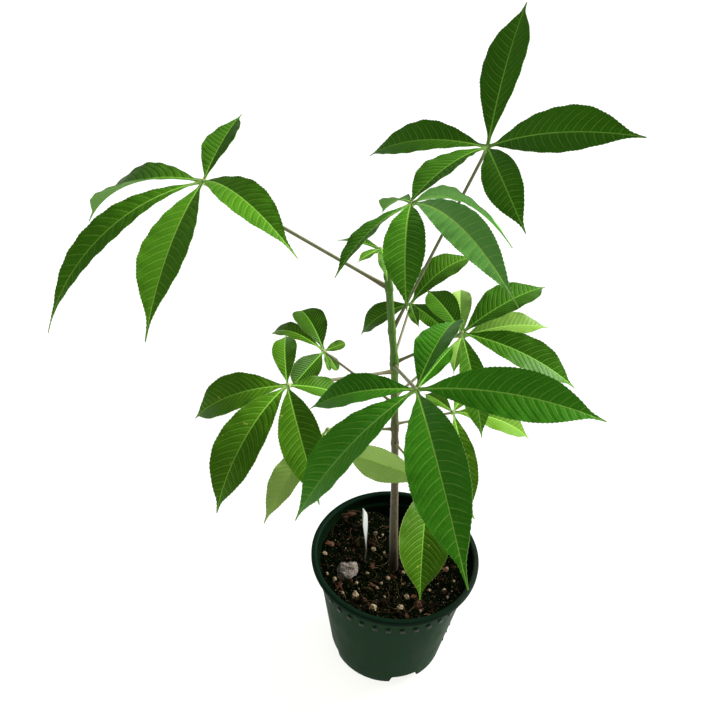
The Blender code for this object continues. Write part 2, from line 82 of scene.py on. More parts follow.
# Trunk: its line from below the soil to the growing tip, and its radius at some heights.
TRUNK_LINE = (
    (0.0, -1.0, 84.0), (0.0, -1.0, 109.0), (-3.5, -2.5, 160.0), (-7.0, -4.0, 218.0),
    (-11.5, -4.0, 280.0), (-17.0, -4.0, 348.0), (-20.6, -4.0, 374.0), (-26.0, -4.0, 415.0),
    (-31.0, -3.0, 443.0),
)
TRUNK_RADII = ((84, 3.6), (109, 4.3), (218, 3.2), (280, 2.8), (418, 2.6), (434, 1.9), (443, 0.9))
TRUNK_STEP = 1.2
TRUNK_SIDES = 28
NODE_SWELL = 0.55
NODE_LENGTH = 3.5
SCAR_LENGTH = 0.8
SCAR_DEPTH = 0.25
BARK_ROUGHNESS = 0.12
BARK_STRETCH = 14.0
BARK_GRAIN = 2.2

# Leaflets: half widths along the midrib, as shares of the widest one.
POINTED = (
    (0.0, 0.08), (0.07, 0.10), (0.15, 0.32), (0.28, 0.66), (0.42, 0.92), (0.55, 1.0),
    (0.67, 0.91), (0.77, 0.67), (0.86, 0.34), (0.91, 0.15), (0.95, 0.07), (1.0, 0.02),
)
TAILED = (
    (0.0, 0.08), (0.07, 0.10), (0.15, 0.32), (0.28, 0.66), (0.42, 0.93), (0.53, 1.0),
    (0.64, 0.88), (0.74, 0.62), (0.82, 0.34), (0.88, 0.14), (0.93, 0.06), (1.0, 0.02),
)
ROUND = (
    (0.0, 0.08), (0.12, 0.12), (0.25, 0.45), (0.42, 0.82), (0.60, 1.0), (0.75, 0.98),
    (0.87, 0.80), (0.95, 0.50), (1.0, 0.08),
)
FOLD = 15.5
FOLD_PEAK = 1.25
WAVE = 0.9
WAVE_TURNS = 2.5
PHASE_STEP = 1.7
RIPPLE = 0.35
RIPPLE_LENGTH = 13.0
TOOTH_PITCH = 2.7
TOOTH_ROWS = 3
TOOTH_DEPTH = 0.42
FULL_TOOTH_WIDTH = 25.0
TOOTHED = (0.16, 0.95)
FEWEST_TEETH = 7
COLUMNS = (0.0, 0.06, 0.16, 0.32, 0.5, 0.68, 0.85, 1.0)
BLADE = 0.55
BLADE_EDGE = 0.3
RIB = 0.55
RIB_COLUMNS = 0.1
STEM_HALF = 0.75
STEM_DEPTH = 1.1
STEM_REACH = 6.0
TIP_HALF = 0.2
START_SHARE = 0.012

# Stalks: swollen cushions at the trunk and under the hub.
STALK_RINGS = 40
STALK_SIDES = 12
CUSHION_SWELL = 0.6
CUSHION_REACH = 0.09
HUB_SWELL = 0.55
HUB_REACH = 0.03
HUB_RADIUS = 2.3
HUB_FLATNESS = 0.7
HUB_ROUGHNESS = 0.12

# Each leaf's hub, its stalk's node on the trunk, the way its face leans, its stalk's radius
# and its leaflets: compass angle, lift, arch, length, width and roll about the midrib. Tones
# give how light each leaflet's green is, from 0 to 1, and they also hold painted light: some
# leaflets, such as the first of leaf_top_front, are set paler for the sheen and light on them.
# Age from 0 to 1 brings spots and browning, and warmth is how much red its green has, against
# the row of greens.
Leaf = namedtuple("Leaf", "name hub node faces tilt stalk outline slot age warmth tones leaflets")
LEAVES = (
    Leaf("leaf_top_left", (-153, 12, 473), 410, -170, 20, 1.3, TAILED, "leaf_deep", 0.1, 1.2,
         (0.50, 0.56, 0.54, 0.66, 0.62), (
             (79, 12, 16, 88, 27, 0), (166, 23, 64, 114, 45, 10), (-146, 18, 68, 150, 26, -20),
             (-102, 0, 28, 131, 36, -5), (-50, 18, 70, 109, 28, -5))),
    Leaf("leaf_top_right", (33, 30, 502), 374, -160, 30, 1.1, POINTED, "leaf_deep", 0.0, 1.15,
         (0.48, 0.46, 0.46, 0.44, 0.50), (
             (61, 28, 17, 113, 33, 0), (-38, 21, 30, 115, 33, 20), (-83, 16, 40, 94, 25, 10),
             (-126, 32, 30, 88, 29, 0), (150, 22, 45, 102, 32, -5))),
    # Painted sheen: the first leaflet's pale tone stands in for the sheen along it.
    Leaf("leaf_top_front", (-18, -60, 501), 420, 112, 29, 1.1, POINTED, "leaf_bright", 0.0, 1.0,
         (1.05, 0.95, 0.60, 0.48, 0.50), (
             (-60, 13, 61, 98, 16, -40), (-72, -2, 40, 140, 20, 30), (-100, -17, 60, 79, 24, 0),
             (-135, -12, 33, 73, 18, 0), (110, 18, 40, 56, 16, 0))),
    Leaf("leaf_back_small", (-5, 56, 360), 351, -145, 30, 1.0, POINTED, "leaf_deep", 0.1, 1.45,
         (0.43, 0.38, 0.36, 0.42), (
             (40, 19, 60, 72, 30, 0), (-174, 12, 57, 53, 24, 0), (-77, 30, 38, 33, 9, 0),
             (-53, 19, 41, 49, 16, 0))),
    Leaf("leaf_shoot_tip", (-33, -8, 442), 429, 66, 11, 1.0, POINTED, "leaf_bright", 0.2, 1.5,
         (0.40, 0.40, 0.40), (
             (142, 2, 20, 38, 12, 0), (-123, 2, 18, 27, 8, 0), (-80, 10, 53, 35, 11, 0))),
    Leaf("leaf_right", (31, 5, 370), 346, -105, 24, 1.2, POINTED, "leaf_deep", 0.1, 1.2,
         (0.42, 0.39, 0.46, 0.55), (
             (119, 11, 43, 54, 23, 0), (37, 14, 46, 85, 36, -20), (-22, 14, 59, 95, 29, 0),
             (-79, 8, 67, 82, 22, 0))),
    Leaf("leaf_front", (-6, -95, 394), 343, -122, 17, 1.3, POINTED, "leaf_deep", 0.1, 0.75,
         (0.56, 0.65, 0.61, 0.74, 0.55, 0.45), (
             (69, 14, 56, 83, 32, -25), (-15, 23, 46, 116, 32, 25), (-80, 28, 38, 145, 36, 20),
             (-141, 3, 53, 114, 40, 20), (172, 1, 45, 80, 28, 5), (60, -4, 14, 50, 14, 0))),
    Leaf("leaf_pale_right", (38, 50, 335), 314, -130, 20, 1.1, POINTED, "leaf_pale", 0.5, 1.65,
         (1.10, 0.87, 0.90, 0.85), (
             (88, 29, 66, 60, 20, 0), (13, 10, 48, 76, 26, 0), (-102, 29, 47, 41, 12, 0),
             (155, 5, 45, 38, 15, 0))),
    Leaf("leaf_left", (-91, -48, 353), 338, -113, 22, 1.2, POINTED, "leaf_deep", 0.6, 1.5,
         (0.46, 0.53, 0.48, 0.50, 0.36), (
             (99, 9, 50, 58, 19, 0), (-171, 16, 66, 79, 33, 0), (-118, 28, 80, 106, 34, 0),
             (-73, 23, 52, 94, 29, 5), (7, -11, 50, 47, 19, 0))),
    Leaf("leaf_left_small", (-72, 40, 320), 306, -63, 26, 1.0, ROUND, "leaf_bright", 0.3, 1.8,
         (0.12, 0.40, 0.09, 0.36, 0.34, 0.34), (
             (118, 11, 50, 50, 27, 0), (149, 9, 75, 58, 17, 0), (-117, 21, 18, 46, 21, 0),
             (32, 18, 19, 19, 9, 0), (-44, 5, 30, 19, 9, 0), (-65, 5, 25, 17, 5, 0))),
    Leaf("leaf_right_low", (34, 10, 290), 286, -108, 15, 1.0, POINTED, "leaf_pale", 0.6, 1.65,
         (0.50, 0.74, 0.63, 0.65), (
             (131, 3, 40, 36, 14, 0), (-6, 10, 66, 72, 27, 0), (-80, 10, 65, 85, 20, -5),
             (60, 5, 50, 36, 14, 0))),
    Leaf("leaf_low_front", (15, -55, 276), 266, -112, 36, 1.0, POINTED, "leaf_pale", 0.8, 1.75,
         (0.38, 1.25, 0.70), (
             (-96, 30, 50, 88, 38, -20), (157, 10, 38, 76, 27, -25), (-40, 0, 50, 46, 18, 0))),
    Leaf("leaf_left_low", (-64, -10, 281), 281, -132, 20, 1.1, POINTED, "leaf_pale", 1.0, 1.85,
         (1.10, 0.90), (
             (-127, 10, 45, 89, 27, 5), (5, 5, 50, 40, 14, 0))),
)

# Greens from the darkest to the palest leaflet, for tones from 0 to PALEST in even steps.
PALEST = 1.25
GREENS = (
    (0.007, 0.040, 0.0004),
    (0.016, 0.084, 0.0008),
    (0.036, 0.170, 0.003),
    (0.068, 0.265, 0.008),
    (0.150, 0.440, 0.085),
    (0.255, 0.660, 0.170),
)
VEIN_PAIRS = 19.0
VEIN_LEAN = 0.5
VEIN_BEND = 0.03
VEIN_DRIFT = 0.4
VEIN_SHIFT = 0.21
SPOTTED_AGE = 0.25

# Pot: a six inch nursery pot, tapered, with a rolled lip and a shallow band under it.
POT_HEIGHT = 130.0
LIP_RADIUS = 76.0
LIP_DEPTH = 5.0
BAND_RADIUS = 72.4
BAND_DEPTH = 6.5
WALL_TOP_RADIUS = 69.6
BASE_RADIUS = 53.5
BASE_CORNER = 7.0
BASE_BEND = 2.2
WALL = 1.6
FLOOR = 2.4
POT_SIDES = 160
NUB_COUNT = 36
NUB_TURN = -3.0
NUB_HEIGHT = 108.5
NUB_WIDTH = 4.4
NUB_STAND = 1.5
NUB_BEVEL = 0.7
SIDE_NUB_ANGLE = -11.0
SIDE_NUB_HEIGHTS = (46.0, 34.0, 20.0)
NOTCH_COUNT = 4
NOTCH_WIDTH = 31.0
NOTCH_HEIGHT = 16.5
NOTCH_REACH = 14.0
NOTCH_TAPER = 0.8
NOTCH_TURN = -71.0
NOTCH_BEVEL = 2.0
# Half the side of the square that fits in a circle of radius 1.
SQUARE_HALF = math.sqrt(0.5)

# Soil: a loose dark mix below the lip, with a heap at the left and a hollow at the right.
SOIL_TOP = 110.0
SOIL_GAP = 0.3
SOIL_SHOULDER = 2.0
SOIL_SLOPE = -0.12
SOIL_MOUNDS = ((-44.0, 44.0, 6.0, 18.0), (8.0, 62.0, -15.0, 17.0))
SOIL_ROUGHNESS = 1.5
SOIL_GRAIN = 11.0
CRUMB_SHARE = 0.6
SOIL_SEED = 11
SOIL_RINGS = 72
SOIL_SECTORS = 200
FINE_GRAINS = ((4.5, 0.9), (2.0, 0.55))
FINE_SEED = 3.0
CRUMB_COUNT = 620
CRUMB_SIZES = (0.5, 1.9)
CRUMB_SHRINK = (0.6, 1.0)
BARK_COUNT = 95
BARK_SIZES = (1.4, 4.2)
STRAW_COUNT = 120
STRAW_LENGTHS = (4.0, 18.0)
STRAW_RADII = (0.1, 0.24)
STRAW_BOW = 0.25
STRAW_LIFT = 1.6
STRAW_RISE = 0.5
STRAW_WIGGLE = 0.8
STRAW_STEPS = 10
STRAW_SIDES = 5
DUST_COUNT = 70
DUST_SIZES = (0.35, 0.8)
DUST_STRETCH = (1.0, 0.9, 0.8)
GRIT_SPREAD = 64.0
BARK_SPREAD = 62.0
STRAW_SPREAD = 52.0
MID_TONE = (0.5, 0.0, 0.0)
# The paints of the soil's parts, in the order in which soil_paints makes them.
SOIL_PAINT, BARK_PAINT, PERLITE_PAINT, STRAW_PAINT, LUMP_PAINT = range(5)
# What lies on the soil: how far it stands out, how wide and deep it is against its length,
# how lumpy it is, how finely it is divided, and its paint.
Grit = namedtuple("Grit", "rise widths depths rough detail paint")
CRUMB = Grit(0.4, (0.6, 1.0), (0.5, 0.9), 0.4, 1, SOIL_PAINT)
FLAKE = Grit(0.25, (0.45, 0.8), (0.25, 0.45), 0.8, 2, BARK_PAINT)
BEAD = Grit(0.5, (0.75, 1.0), (0.7, 0.95), 0.55, 3, PERLITE_PAINT)
# Perlite lumps and bark pieces that stand out: place and radius.
PERLITE = (
    (-18, 34, 2.1), (-11, 34, 1.5), (-19, 15, 2.2), (-64, 2, 2.2), (-5, -15, 1.9), (-34, -39, 3.0),
    (-17, -50, 2.9), (6, -45, 2.6), (-11, -22, 1.5), (-15, -28, 1.4), (-24, -14, 1.5),
    (-53, -24, 1.8), (-60, -19, 1.4), (-33, -26, 1.8), (-9, 13, 1.2), (9, -6, 1.7),
    (46, -20, 1.9), (33, -21, 1.5), (12, -33, 2.3), (49, -27, 1.2), (-28, 44, 1.3), (30, 10, 1.4),
    (50, 5, 1.6), (24, -46, 1.5), (40, 30, 1.5), (-45, -38, 1.3), (-8, -36, 1.1), (56, -8, 1.2),
)
CHUNKS = ((-45, 48, 6.0), (-39, 37, 4.4), (-60, 14, 4.8), (-37, 17, 4.2), (-52, 28, 3.6), (-48, -2, 3.4))
LUMP = (-42.0, -15.0, 9.5)
LUMP_RISE = 0.35
LUMP_STRETCH = (1.0, 0.85, 0.75)
LUMP_TURN = 0.6
# Long straws that stand out: two ends, how far the middle bows sideways, and the radius.
LONG_STRAWS = (
    ((-61, 52), (-33, 58), 1.0, 0.55),
    ((-38, -46), (8, -49), 5.0, 0.4),
    ((-30, -43), (11, -53), -3.0, 0.35),
    ((-55, -26), (-42, -44), -3.0, 0.45),
    ((-56, 30), (-26, 24), 2.5, 0.35),
    ((20, -30), (44, -44), 3.0, 0.35),
)

# Plant label: a thin bare stake, set nearly edge-on to the viewpoint and a little twisted.
LABEL_FOOT = (-27.5, 2.0)
LABEL_HEIGHT = 68.0
LABEL_DEPTH = 26.0
LABEL_WIDTH = 15.0
LABEL_NECK = 6.0
LABEL_THICKNESS = 1.0
LABEL_TURN = 90.0
LABEL_TWIST = -24.0
LABEL_TWIST_FROM = 0.35
LABEL_BOW = 2.5
LABEL_LEAN = (-4.3, 3.0)
LABEL_SHAPE = ((-0.4, 2.0), (0.0, LABEL_NECK), (0.4, LABEL_WIDTH), (0.85, LABEL_WIDTH), (1.0, 7.0))
LABEL_ROWS = 46
# The outline of its cut: shares of half the width and of half the thickness.
LABEL_SECTION = (
    (1, 0.5), (0.9, 1), (0, 1), (-0.9, 1), (-1, 0.5), (-1, -0.5), (-0.9, -1), (0, -1), (0.9, -1), (1, -0.5),
)
LABEL_CORNER = 14.0


class Shape:
    """Gathers the points, the faces and the paints of one piece."""

    def __init__(self):
        self.points = []
        self.faces = []
        self.paints = []
        self.marks = {}

    def add(self, points, faces, paint=0, **marks):
        """Adds points and faces. Each mark is one vector for a point, or one for all of them."""
        start = len(self.points)
        self.points.extend(points)
        self.faces.extend(tuple(start + index for index in face) for face in faces)
        self.paints.extend(paint if isinstance(paint, list) else [paint] * len(faces))
        for name, value in marks.items():
            values = value if isinstance(value, list) else [value] * len(points)
            self.marks.setdefault(name, {}).update(zip(range(start, len(self.points)), values))

    def build(self, name, materials, sharp=50.0):
        mesh = bpy.data.meshes.new(name)
        mesh.from_pydata([Vector(point) * MM for point in self.points], [], self.faces)
        mesh.polygons.foreach_set("material_index", self.paints)
        for mark, values in self.marks.items():
            layer = mesh.attributes.new(mark, "FLOAT_VECTOR", "POINT")
            for index, value in values.items():
                layer.data[index].vector = value
        for material in materials:
            mesh.materials.append(material)
        mesh.shade_smooth()
        mesh.set_sharp_from_angle(angle=math.radians(sharp))
        made = bpy.data.objects.new(name, mesh)
        bpy.context.scene.collection.objects.link(made)
        return made


class Value:
    """A number, place or colour that a node gives. Numbers take part in sums like plain ones."""

    def __init__(self, paint, node, output=0):
        self.paint = paint
        self.socket = node.outputs[output]

    def __add__(self, other):
        return self.paint.math("ADD", self, other)

    def __sub__(self, other):
        return self.paint.math("SUBTRACT", self, other)

    def __mul__(self, other):
        return self.paint.math("MULTIPLY", self, other)

    def __truediv__(self, other):
        return self.paint.math("DIVIDE", self, other)

    def __rtruediv__(self, other):
        return self.paint.math("DIVIDE", other, self)

    def __abs__(self):
        return self.paint.math("ABSOLUTE", self)


class Paint:
    """A Principled material whose colour, roughness and bump come from its nodes."""

    def __init__(self, name, roughness, **settings):
        self.material = bpy.data.materials.new(name)
        self.material.use_nodes = True
        self.tree = self.material.node_tree
        self.shader = self.tree.nodes["Principled BSDF"]
        self.shader.inputs["Roughness"].default_value = roughness
        for socket, value in settings.items():
            self.shader.inputs[socket.replace("_", " ")].default_value = value

    def feed(self, socket, value):
        """Links a node's value to a socket, or sets the socket to a plain number or colour."""
        if isinstance(value, Value):
            self.tree.links.new(value.socket, socket)
        else:
            socket.default_value = value

    def node(self, kind, inputs, **settings):
        """Adds a node. Inputs gives values by the name or the number of their socket."""
        node = self.tree.nodes.new("ShaderNode" + kind)
        for name, value in settings.items():
            setattr(node, name, value)
        for socket, value in inputs.items():
            self.feed(node.inputs[socket], value)
        return node

    def math(self, operation, first, second=0.0):
        return Value(self, self.node("Math", {0: first, 1: second}, operation=operation))

    def step(self, value, low, high, first=0.0, last=1.0):
        """A smooth step from first at low to last at high."""
        inputs = {"Value": value, "From Min": low, "From Max": high, "To Min": first, "To Max": last}
        return Value(self, self.node("MapRange", inputs, interpolation_type="SMOOTHSTEP"))

    def mix(self, share, first, last):
        """The first colour, with a share of the last one over it."""
        given = [(*value, 1.0) if isinstance(value, tuple) else value for value in (first, last)]
        node = self.node("Mix", {0: share, **dict(zip(MIX_COLOURS, given))}, data_type="RGBA")
        return Value(self, node, MIX_RESULT)

    def ramp(self, value, colours):
        """A colour from an even row of colours, by a value from 0 to 1."""
        node = self.node("ValToRGB", {0: value})
        stops = node.color_ramp.elements
        while len(stops) < len(colours):
            stops.new(0.5)
        for index, colour in enumerate(colours):
            stops[index].position = index / (len(colours) - 1)
            stops[index].color = (*colour, 1.0)
        return Value(self, node)

    def scale(self, vector, factors):
        """A place or a colour, with each of its three numbers scaled."""
        return Value(self, self.node("VectorMath", {0: vector, 1: factors}, operation="MULTIPLY"))

    def split(self, vector):
        node = self.node("SeparateXYZ", {0: vector})
        return [Value(self, node, axis) for axis in range(3)]

    def mark(self, name):
        """A point's mark and its three numbers."""
        mark = Value(self, self.node("Attribute", {}, attribute_name=name), "Vector")
        return mark, *self.split(mark)

    def place(self, stretch=(1.0, 1.0, 1.0)):
        """The point's own place in the mesh, in millimetres, stretched along each axis."""
        place = Value(self, self.node("TexCoord", {}), "Object")
        return self.scale(place, [value / MM for value in stretch])

    def noise(self, vector, scale, detail=3.0, rough=0.55):
        inputs = {"Vector": vector, "Scale": scale, "Detail": detail, "Roughness": rough}
        return Value(self, self.node("TexNoise", inputs), "Fac")

    def cells(self, vector, scale, feature="DISTANCE_TO_EDGE"):
        node = self.node("TexVoronoi", {"Vector": vector, "Scale": scale}, feature=feature)
        return Value(self, node, "Distance")

    def bump(self, height, depth, strength=1.0):
        """Adds relief: height is from 0 to 1 and depth is what 1 stands for, in millimetres."""
        node = self.node("Bump", {"Strength": strength, "Distance": depth * MM, "Height": height})
        self.feed(self.shader.inputs["Normal"], Value(self, node))

    def finish(self, colour, cloud=None, smooth=0.0, rough=1.0, span=(0.3, 0.7)):
        """Sets the colour, and a roughness that follows a cloud's span from smooth to rough."""
        self.feed(self.shader.inputs["Base Color"], colour)
        if cloud is not None:
            self.feed(self.shader.inputs["Roughness"], self.step(cloud, *span, smooth, rough))
        return self.material


def slope_line(rows, value):
    """Reads a smooth line through rows of (value, amount)."""
    index = 0
    while index < len(rows) - 2 and rows[index + 1][0] < value:
        index += 1
    before, start = rows[max(index - 1, 0)], rows[index]
    end, after = rows[index + 1], rows[min(index + 2, len(rows) - 1)]
    span = end[0] - start[0]
    share = min(max((value - start[0]) / span, 0.0), 1.0)
    leave = (end[1] - before[1]) * (span / (end[0] - before[0]))
    arrive = (after[1] - start[1]) * (span / (after[0] - start[0]))
    square, cube = share * share, share * share * share
    return (
        start[1] * (2 * cube - 3 * square + 1)
        + leave * (cube - 2 * square + share)
        + end[1] * (3 * square - 2 * cube)
        + arrive * (cube - square)
    )


def between(table, value):
    """Reads a value from a table of pairs, straight between its rows."""
    for (low, first), (high, second) in zip(table, table[1:]):
        if value <= high:
            return first + (second - first) * max((value - low) / (high - low), 0.0)
    return table[-1][1]


def trunk_middle(height):
    rows = [(point[2], Vector(point)) for point in TRUNK_LINE]
    middle = slope_line(rows, height)
    return Vector((middle.x, middle.y, height))


def around(radius, turn, z):
    """The point at a radius, a turn in radians round Z, and a height."""
    return Vector((radius * math.cos(turn), radius * math.sin(turn), z))


def mesh_parts(bm):
    """The points and faces of a bmesh, which is freed."""
    points = [vertex.co.copy() for vertex in bm.verts]
    faces = [tuple(vertex.index for vertex in face.verts) for face in bm.faces]
    bm.free()
    return points, faces


def band_faces(rows, count):
    """Four-sided faces between rings of count points."""
    faces = []
    for row in range(rows - 1):
        for index in range(count):
            after = (index + 1) % count
            low, high = row * count, (row + 1) * count
            faces.append((low + index, low + after, high + after, high + index))
    return faces


def tube(path, radii, sides, relief=None):
    """Points and faces of a closed round tube. relief(middle, angle) adds to the radius."""
    rings = []
    side = Vector((1.0, 0.0, 0.0))
    for index, (middle, radius) in enumerate(zip(path, radii)):
        ahead = (path[min(index + 1, len(path) - 1)] - path[max(index - 1, 0)]).normalized()
        side = (side - ahead * side.dot(ahead)).normalized()
        other = ahead.cross(side)
        for step in range(sides):
            angle = math.tau * step / sides
            reach = radius + (relief(middle, angle) if relief else 0.0)
            rings.append(middle + side * (reach * math.cos(angle)) + other * (reach * math.sin(angle)))
    faces = band_faces(len(path), sides)
    faces.append(tuple(reversed(range(sides))))
    faces.append(tuple(range(len(rings) - sides, len(rings))))
    return rings, faces


def leaf_axes(leaf):
    """The hub's frame: down its slope, level across it, and out of its face."""
    faces, tilt = math.radians(leaf.faces), math.radians(leaf.tilt)
    towards = Vector((math.cos(faces), math.sin(faces), 0.0))
    up = Vector((0.0, 0.0, 1.0))
    down = towards * math.cos(tilt) - up * math.sin(tilt)
    return down, up.cross(towards), up * math.cos(tilt) + towards * math.sin(tilt)


def leaflet_half(leaf, length, width, share, row):
    """Half the leaflet's width at a share of its length, with a fine saw edge."""
    half = width / 2.0 * slope_line(leaf.outline, share)
    half = max(half, STEM_HALF if share < 0.5 else TIP_HALF)
    if TOOTHED[0] < share < TOOTHED[1]:
        tooth = (row % TOOTH_ROWS) / (TOOTH_ROWS - 1.0) - 0.5
        half += TOOTH_DEPTH * tooth * min(width / FULL_TOOTH_WIDTH, 1.0)
    return half


def add_leaflet(shape, leaf, leaflet, tone, phase):
    """One thin blade, folded along its midrib, arched, waved and toothed."""
    compass, lift, droop, length, width, roll = leaflet
    down, side, face = leaf_axes(leaf)
    turn = math.radians(compass - leaf.faces)
    ahead = down * math.cos(turn) + side * math.sin(turn)
    level = face.cross(ahead)
    lift, droop, roll = math.radians(lift), math.radians(droop), math.radians(roll)
    fold = math.radians(FOLD)
    last = TOOTH_ROWS * max(FEWEST_TEETH, round(length / TOOTH_PITCH))
    columns = [-value for value in COLUMNS[:0:-1]] + list(COLUMNS)
    points, blade, leaflet_marks = [], [], []
    for row in range(last + 1):
        share = START_SHARE + (1.0 - START_SHARE) * row / last
        pitch = lift - droop * share
        along = length * (math.sin(lift) - math.sin(pitch)) / droop
        above = length * (math.cos(pitch) - math.cos(lift)) / droop
        spot = Vector(leaf.hub) + ahead * along + face * above
        upright = face * math.cos(pitch) - ahead * math.sin(pitch)
        across = level * math.cos(roll) + upright * math.sin(roll)
        normal = upright * math.cos(roll) - level * math.sin(roll)
        half = leaflet_half(leaf, length, width, share, row)
        body = math.sin(math.pi * share)
        stem = STEM_DEPTH * math.exp(-((share * length / STEM_REACH) ** 2))
        for under in (False, True):
            for value in reversed(columns) if under else columns:
                reach = abs(value)
                hand = math.copysign(1.0, value)
                rise = half * math.sin(fold) * reach * (FOLD_PEAK - (FOLD_PEAK - 1.0) * reach)
                wave = WAVE * body * math.sin(math.tau * WAVE_TURNS * share + phase + hand)
                rise += wave * half / width * reach * reach
                turns = math.tau * share * length / RIPPLE_LENGTH
                rise += RIPPLE * body * reach ** 3 * math.sin(turns + 2.0 * phase + 2.0 * hand)
                thick = BLADE + (BLADE_EDGE - BLADE) * reach + stem
                if under:
                    rib = RIB * (1.0 - share) * max(0.0, 1.0 - reach / RIB_COLUMNS)
                    rise -= thick / 2.0 + rib
                else:
                    rise += thick / 2.0
                points.append(spot + across * (value * half * math.cos(fold)) + normal * rise)
                blade.append((value * half, share * length, value))
                leaflet_marks.append((share, length, tone))
    count = 2 * len(columns)
    faces = band_faces(last + 1, count)
    paints = [0 if index % count < len(columns) - 1 else 1 for index in range(len(faces))]
    faces += [tuple(reversed(range(count))), tuple(range(last * count, (last + 1) * count))]
    shape.add(points, faces, paints + [0, 0], blade=blade, leaflet=leaflet_marks)


def add_ball(shape, middle, radius, stretch, turn, rough, seed, detail=2, paint=0, **marks):
    """A lumpy ball: stretch gives its three sizes and rough how uneven it is."""
    bm = bmesh.new()
    bmesh.ops.create_icosphere(bm, subdivisions=detail, radius=1.0)
    ball, faces = mesh_parts(bm)
    points = []
    for point in ball:
        lumps = noise.noise(point * 1.6 + Vector((seed, seed * 0.7, 0.0)))
        lumps += 0.5 * noise.noise(point * 3.7 + Vector((0.0, seed, seed)))
        spot = Vector([value * size for value, size in zip(point, stretch)])
        points.append(Vector(middle) + turn @ (spot * (radius * (1.0 + rough * lumps))))
    shape.add(points, faces, paint, **marks)


def add_stalk(shape, leaf):
    """The stalk from inside the trunk to the hub, and the pale hub on its end."""
    start, end = trunk_middle(leaf.node), Vector(leaf.hub)
    path, radii = [], []
    for index in range(STALK_RINGS + 1):
        share = index / STALK_RINGS
        path.append(start.lerp(end, share))
        swell = CUSHION_SWELL * math.exp(-((share / CUSHION_REACH) ** 2))
        swell += HUB_SWELL * math.exp(-(((1.0 - share) / HUB_REACH) ** 2))
        radii.append(leaf.stalk * (1.0 + swell))
    points, faces = tube(path, radii, STALK_SIDES)
    marks = [((index // STALK_SIDES) / STALK_RINGS, 0.0, 0.0) for index in range(len(points))]
    shape.add(points, faces, 2, stalk=marks)
    down, side, face = leaf_axes(leaf)
    turn = Matrix((down, side, face)).transposed()
    flat = (1.0, 1.0, HUB_FLATNESS)
    add_ball(shape, end, HUB_RADIUS, flat, turn, HUB_ROUGHNESS, leaf.node, 3, 2, stalk=(1.0, 0.0, 0.0))


def blade_colour(paint, age, warmth, pale):
    """The green of a blade with its side veins, midrib, margin and spots, and the vein relief."""
    vector, across, along, share_across = paint.mark("blade")
    _, share, length, tone = paint.mark("leaflet")
    place = paint.place()
    reach, edge = abs(across), abs(share_across)
    rate = VEIN_PAIRS / length
    drift = paint.noise(vector, 0.05, 1.0) - 0.5
    bend = reach * (reach * VEIN_BEND + VEIN_LEAN)
    phase = (along - bend) * rate + paint.math("SIGN", across) * VEIN_SHIFT + drift * VEIN_DRIFT
    apart = abs(paint.math("FRACT", phase) - 0.5) / rate
    vein = paint.step(apart, 0.03, 0.36, 1.0, 0.0) * paint.step(edge, 0.45, 0.98, 1.0, 0.25)
    halfway = abs(paint.math("FRACT", phase + 0.5) - 0.5) / rate
    minor = paint.step(halfway, 0.03, 0.3, 0.2, 0.0)
    net = paint.step(paint.cells(vector, 0.55), 0.0, 0.12, 1.0, 0.0)
    midrib = paint.step(reach + share * 0.38, 0.44, 0.74, 1.0, 0.0)
    grain = paint.noise(place, 0.9, 2.0)
    value = tone + (paint.noise(place, 0.035, 3.0) - 0.5) * 0.16 + (grain - 0.5) * 0.06
    green = paint.ramp((value + paint.step(reach, 0.5, 6.0, 0.05, 0.0)) / PALEST, GREENS)
    colour = paint.scale(green, (warmth, 1.0, 1.0))
    vein_colour = paint.mix(tone, (0.075, 0.30, 0.012), (0.40, 0.66, 0.12))
    rib_colour = paint.mix(tone, (0.15, 0.46, 0.03), (0.42, 0.74, 0.12))
    covers = [
        (net * 0.1, vein_colour),
        ((vein + minor) * 0.8, vein_colour),
        (midrib * 0.95, rib_colour),
        (paint.step(share, 0.03, 0.10, 0.85, 0.0), (0.22, 0.38, 0.09)),
        (paint.step(edge, 0.95, 1.0, 0.0, 0.12 + 0.6 * age), (0.30, 0.40, 0.12)),
    ]
    if age > SPOTTED_AGE:
        spots = paint.step(paint.noise(place, 0.16, 2.0), 0.74 - 0.05 * age, 0.78, 0.0, 0.9 * age)
        specks = paint.step(paint.cells(place, 0.22, "F1"), 0.06, 0.14, 0.8 * age, 0.0)
        rare = paint.step(paint.noise(place, 0.05, 1.0), 0.5, 0.62)
        covers += [(spots, (0.42, 0.42, 0.08)), (specks * rare, (0.06, 0.05, 0.015))]
    if pale:
        covers.append((0.35, (0.20, 0.36, 0.12)))
    for cover, over in covers:
        colour = paint.mix(cover, colour, over)
    quilt = abs(paint.math("SINE", phase * math.pi)) * paint.step(edge, 0.75, 1.0, 1.0, 0.0)
    return colour, quilt * 0.35 + grain * 0.08 - net * 0.06 + midrib * 0.1, grain


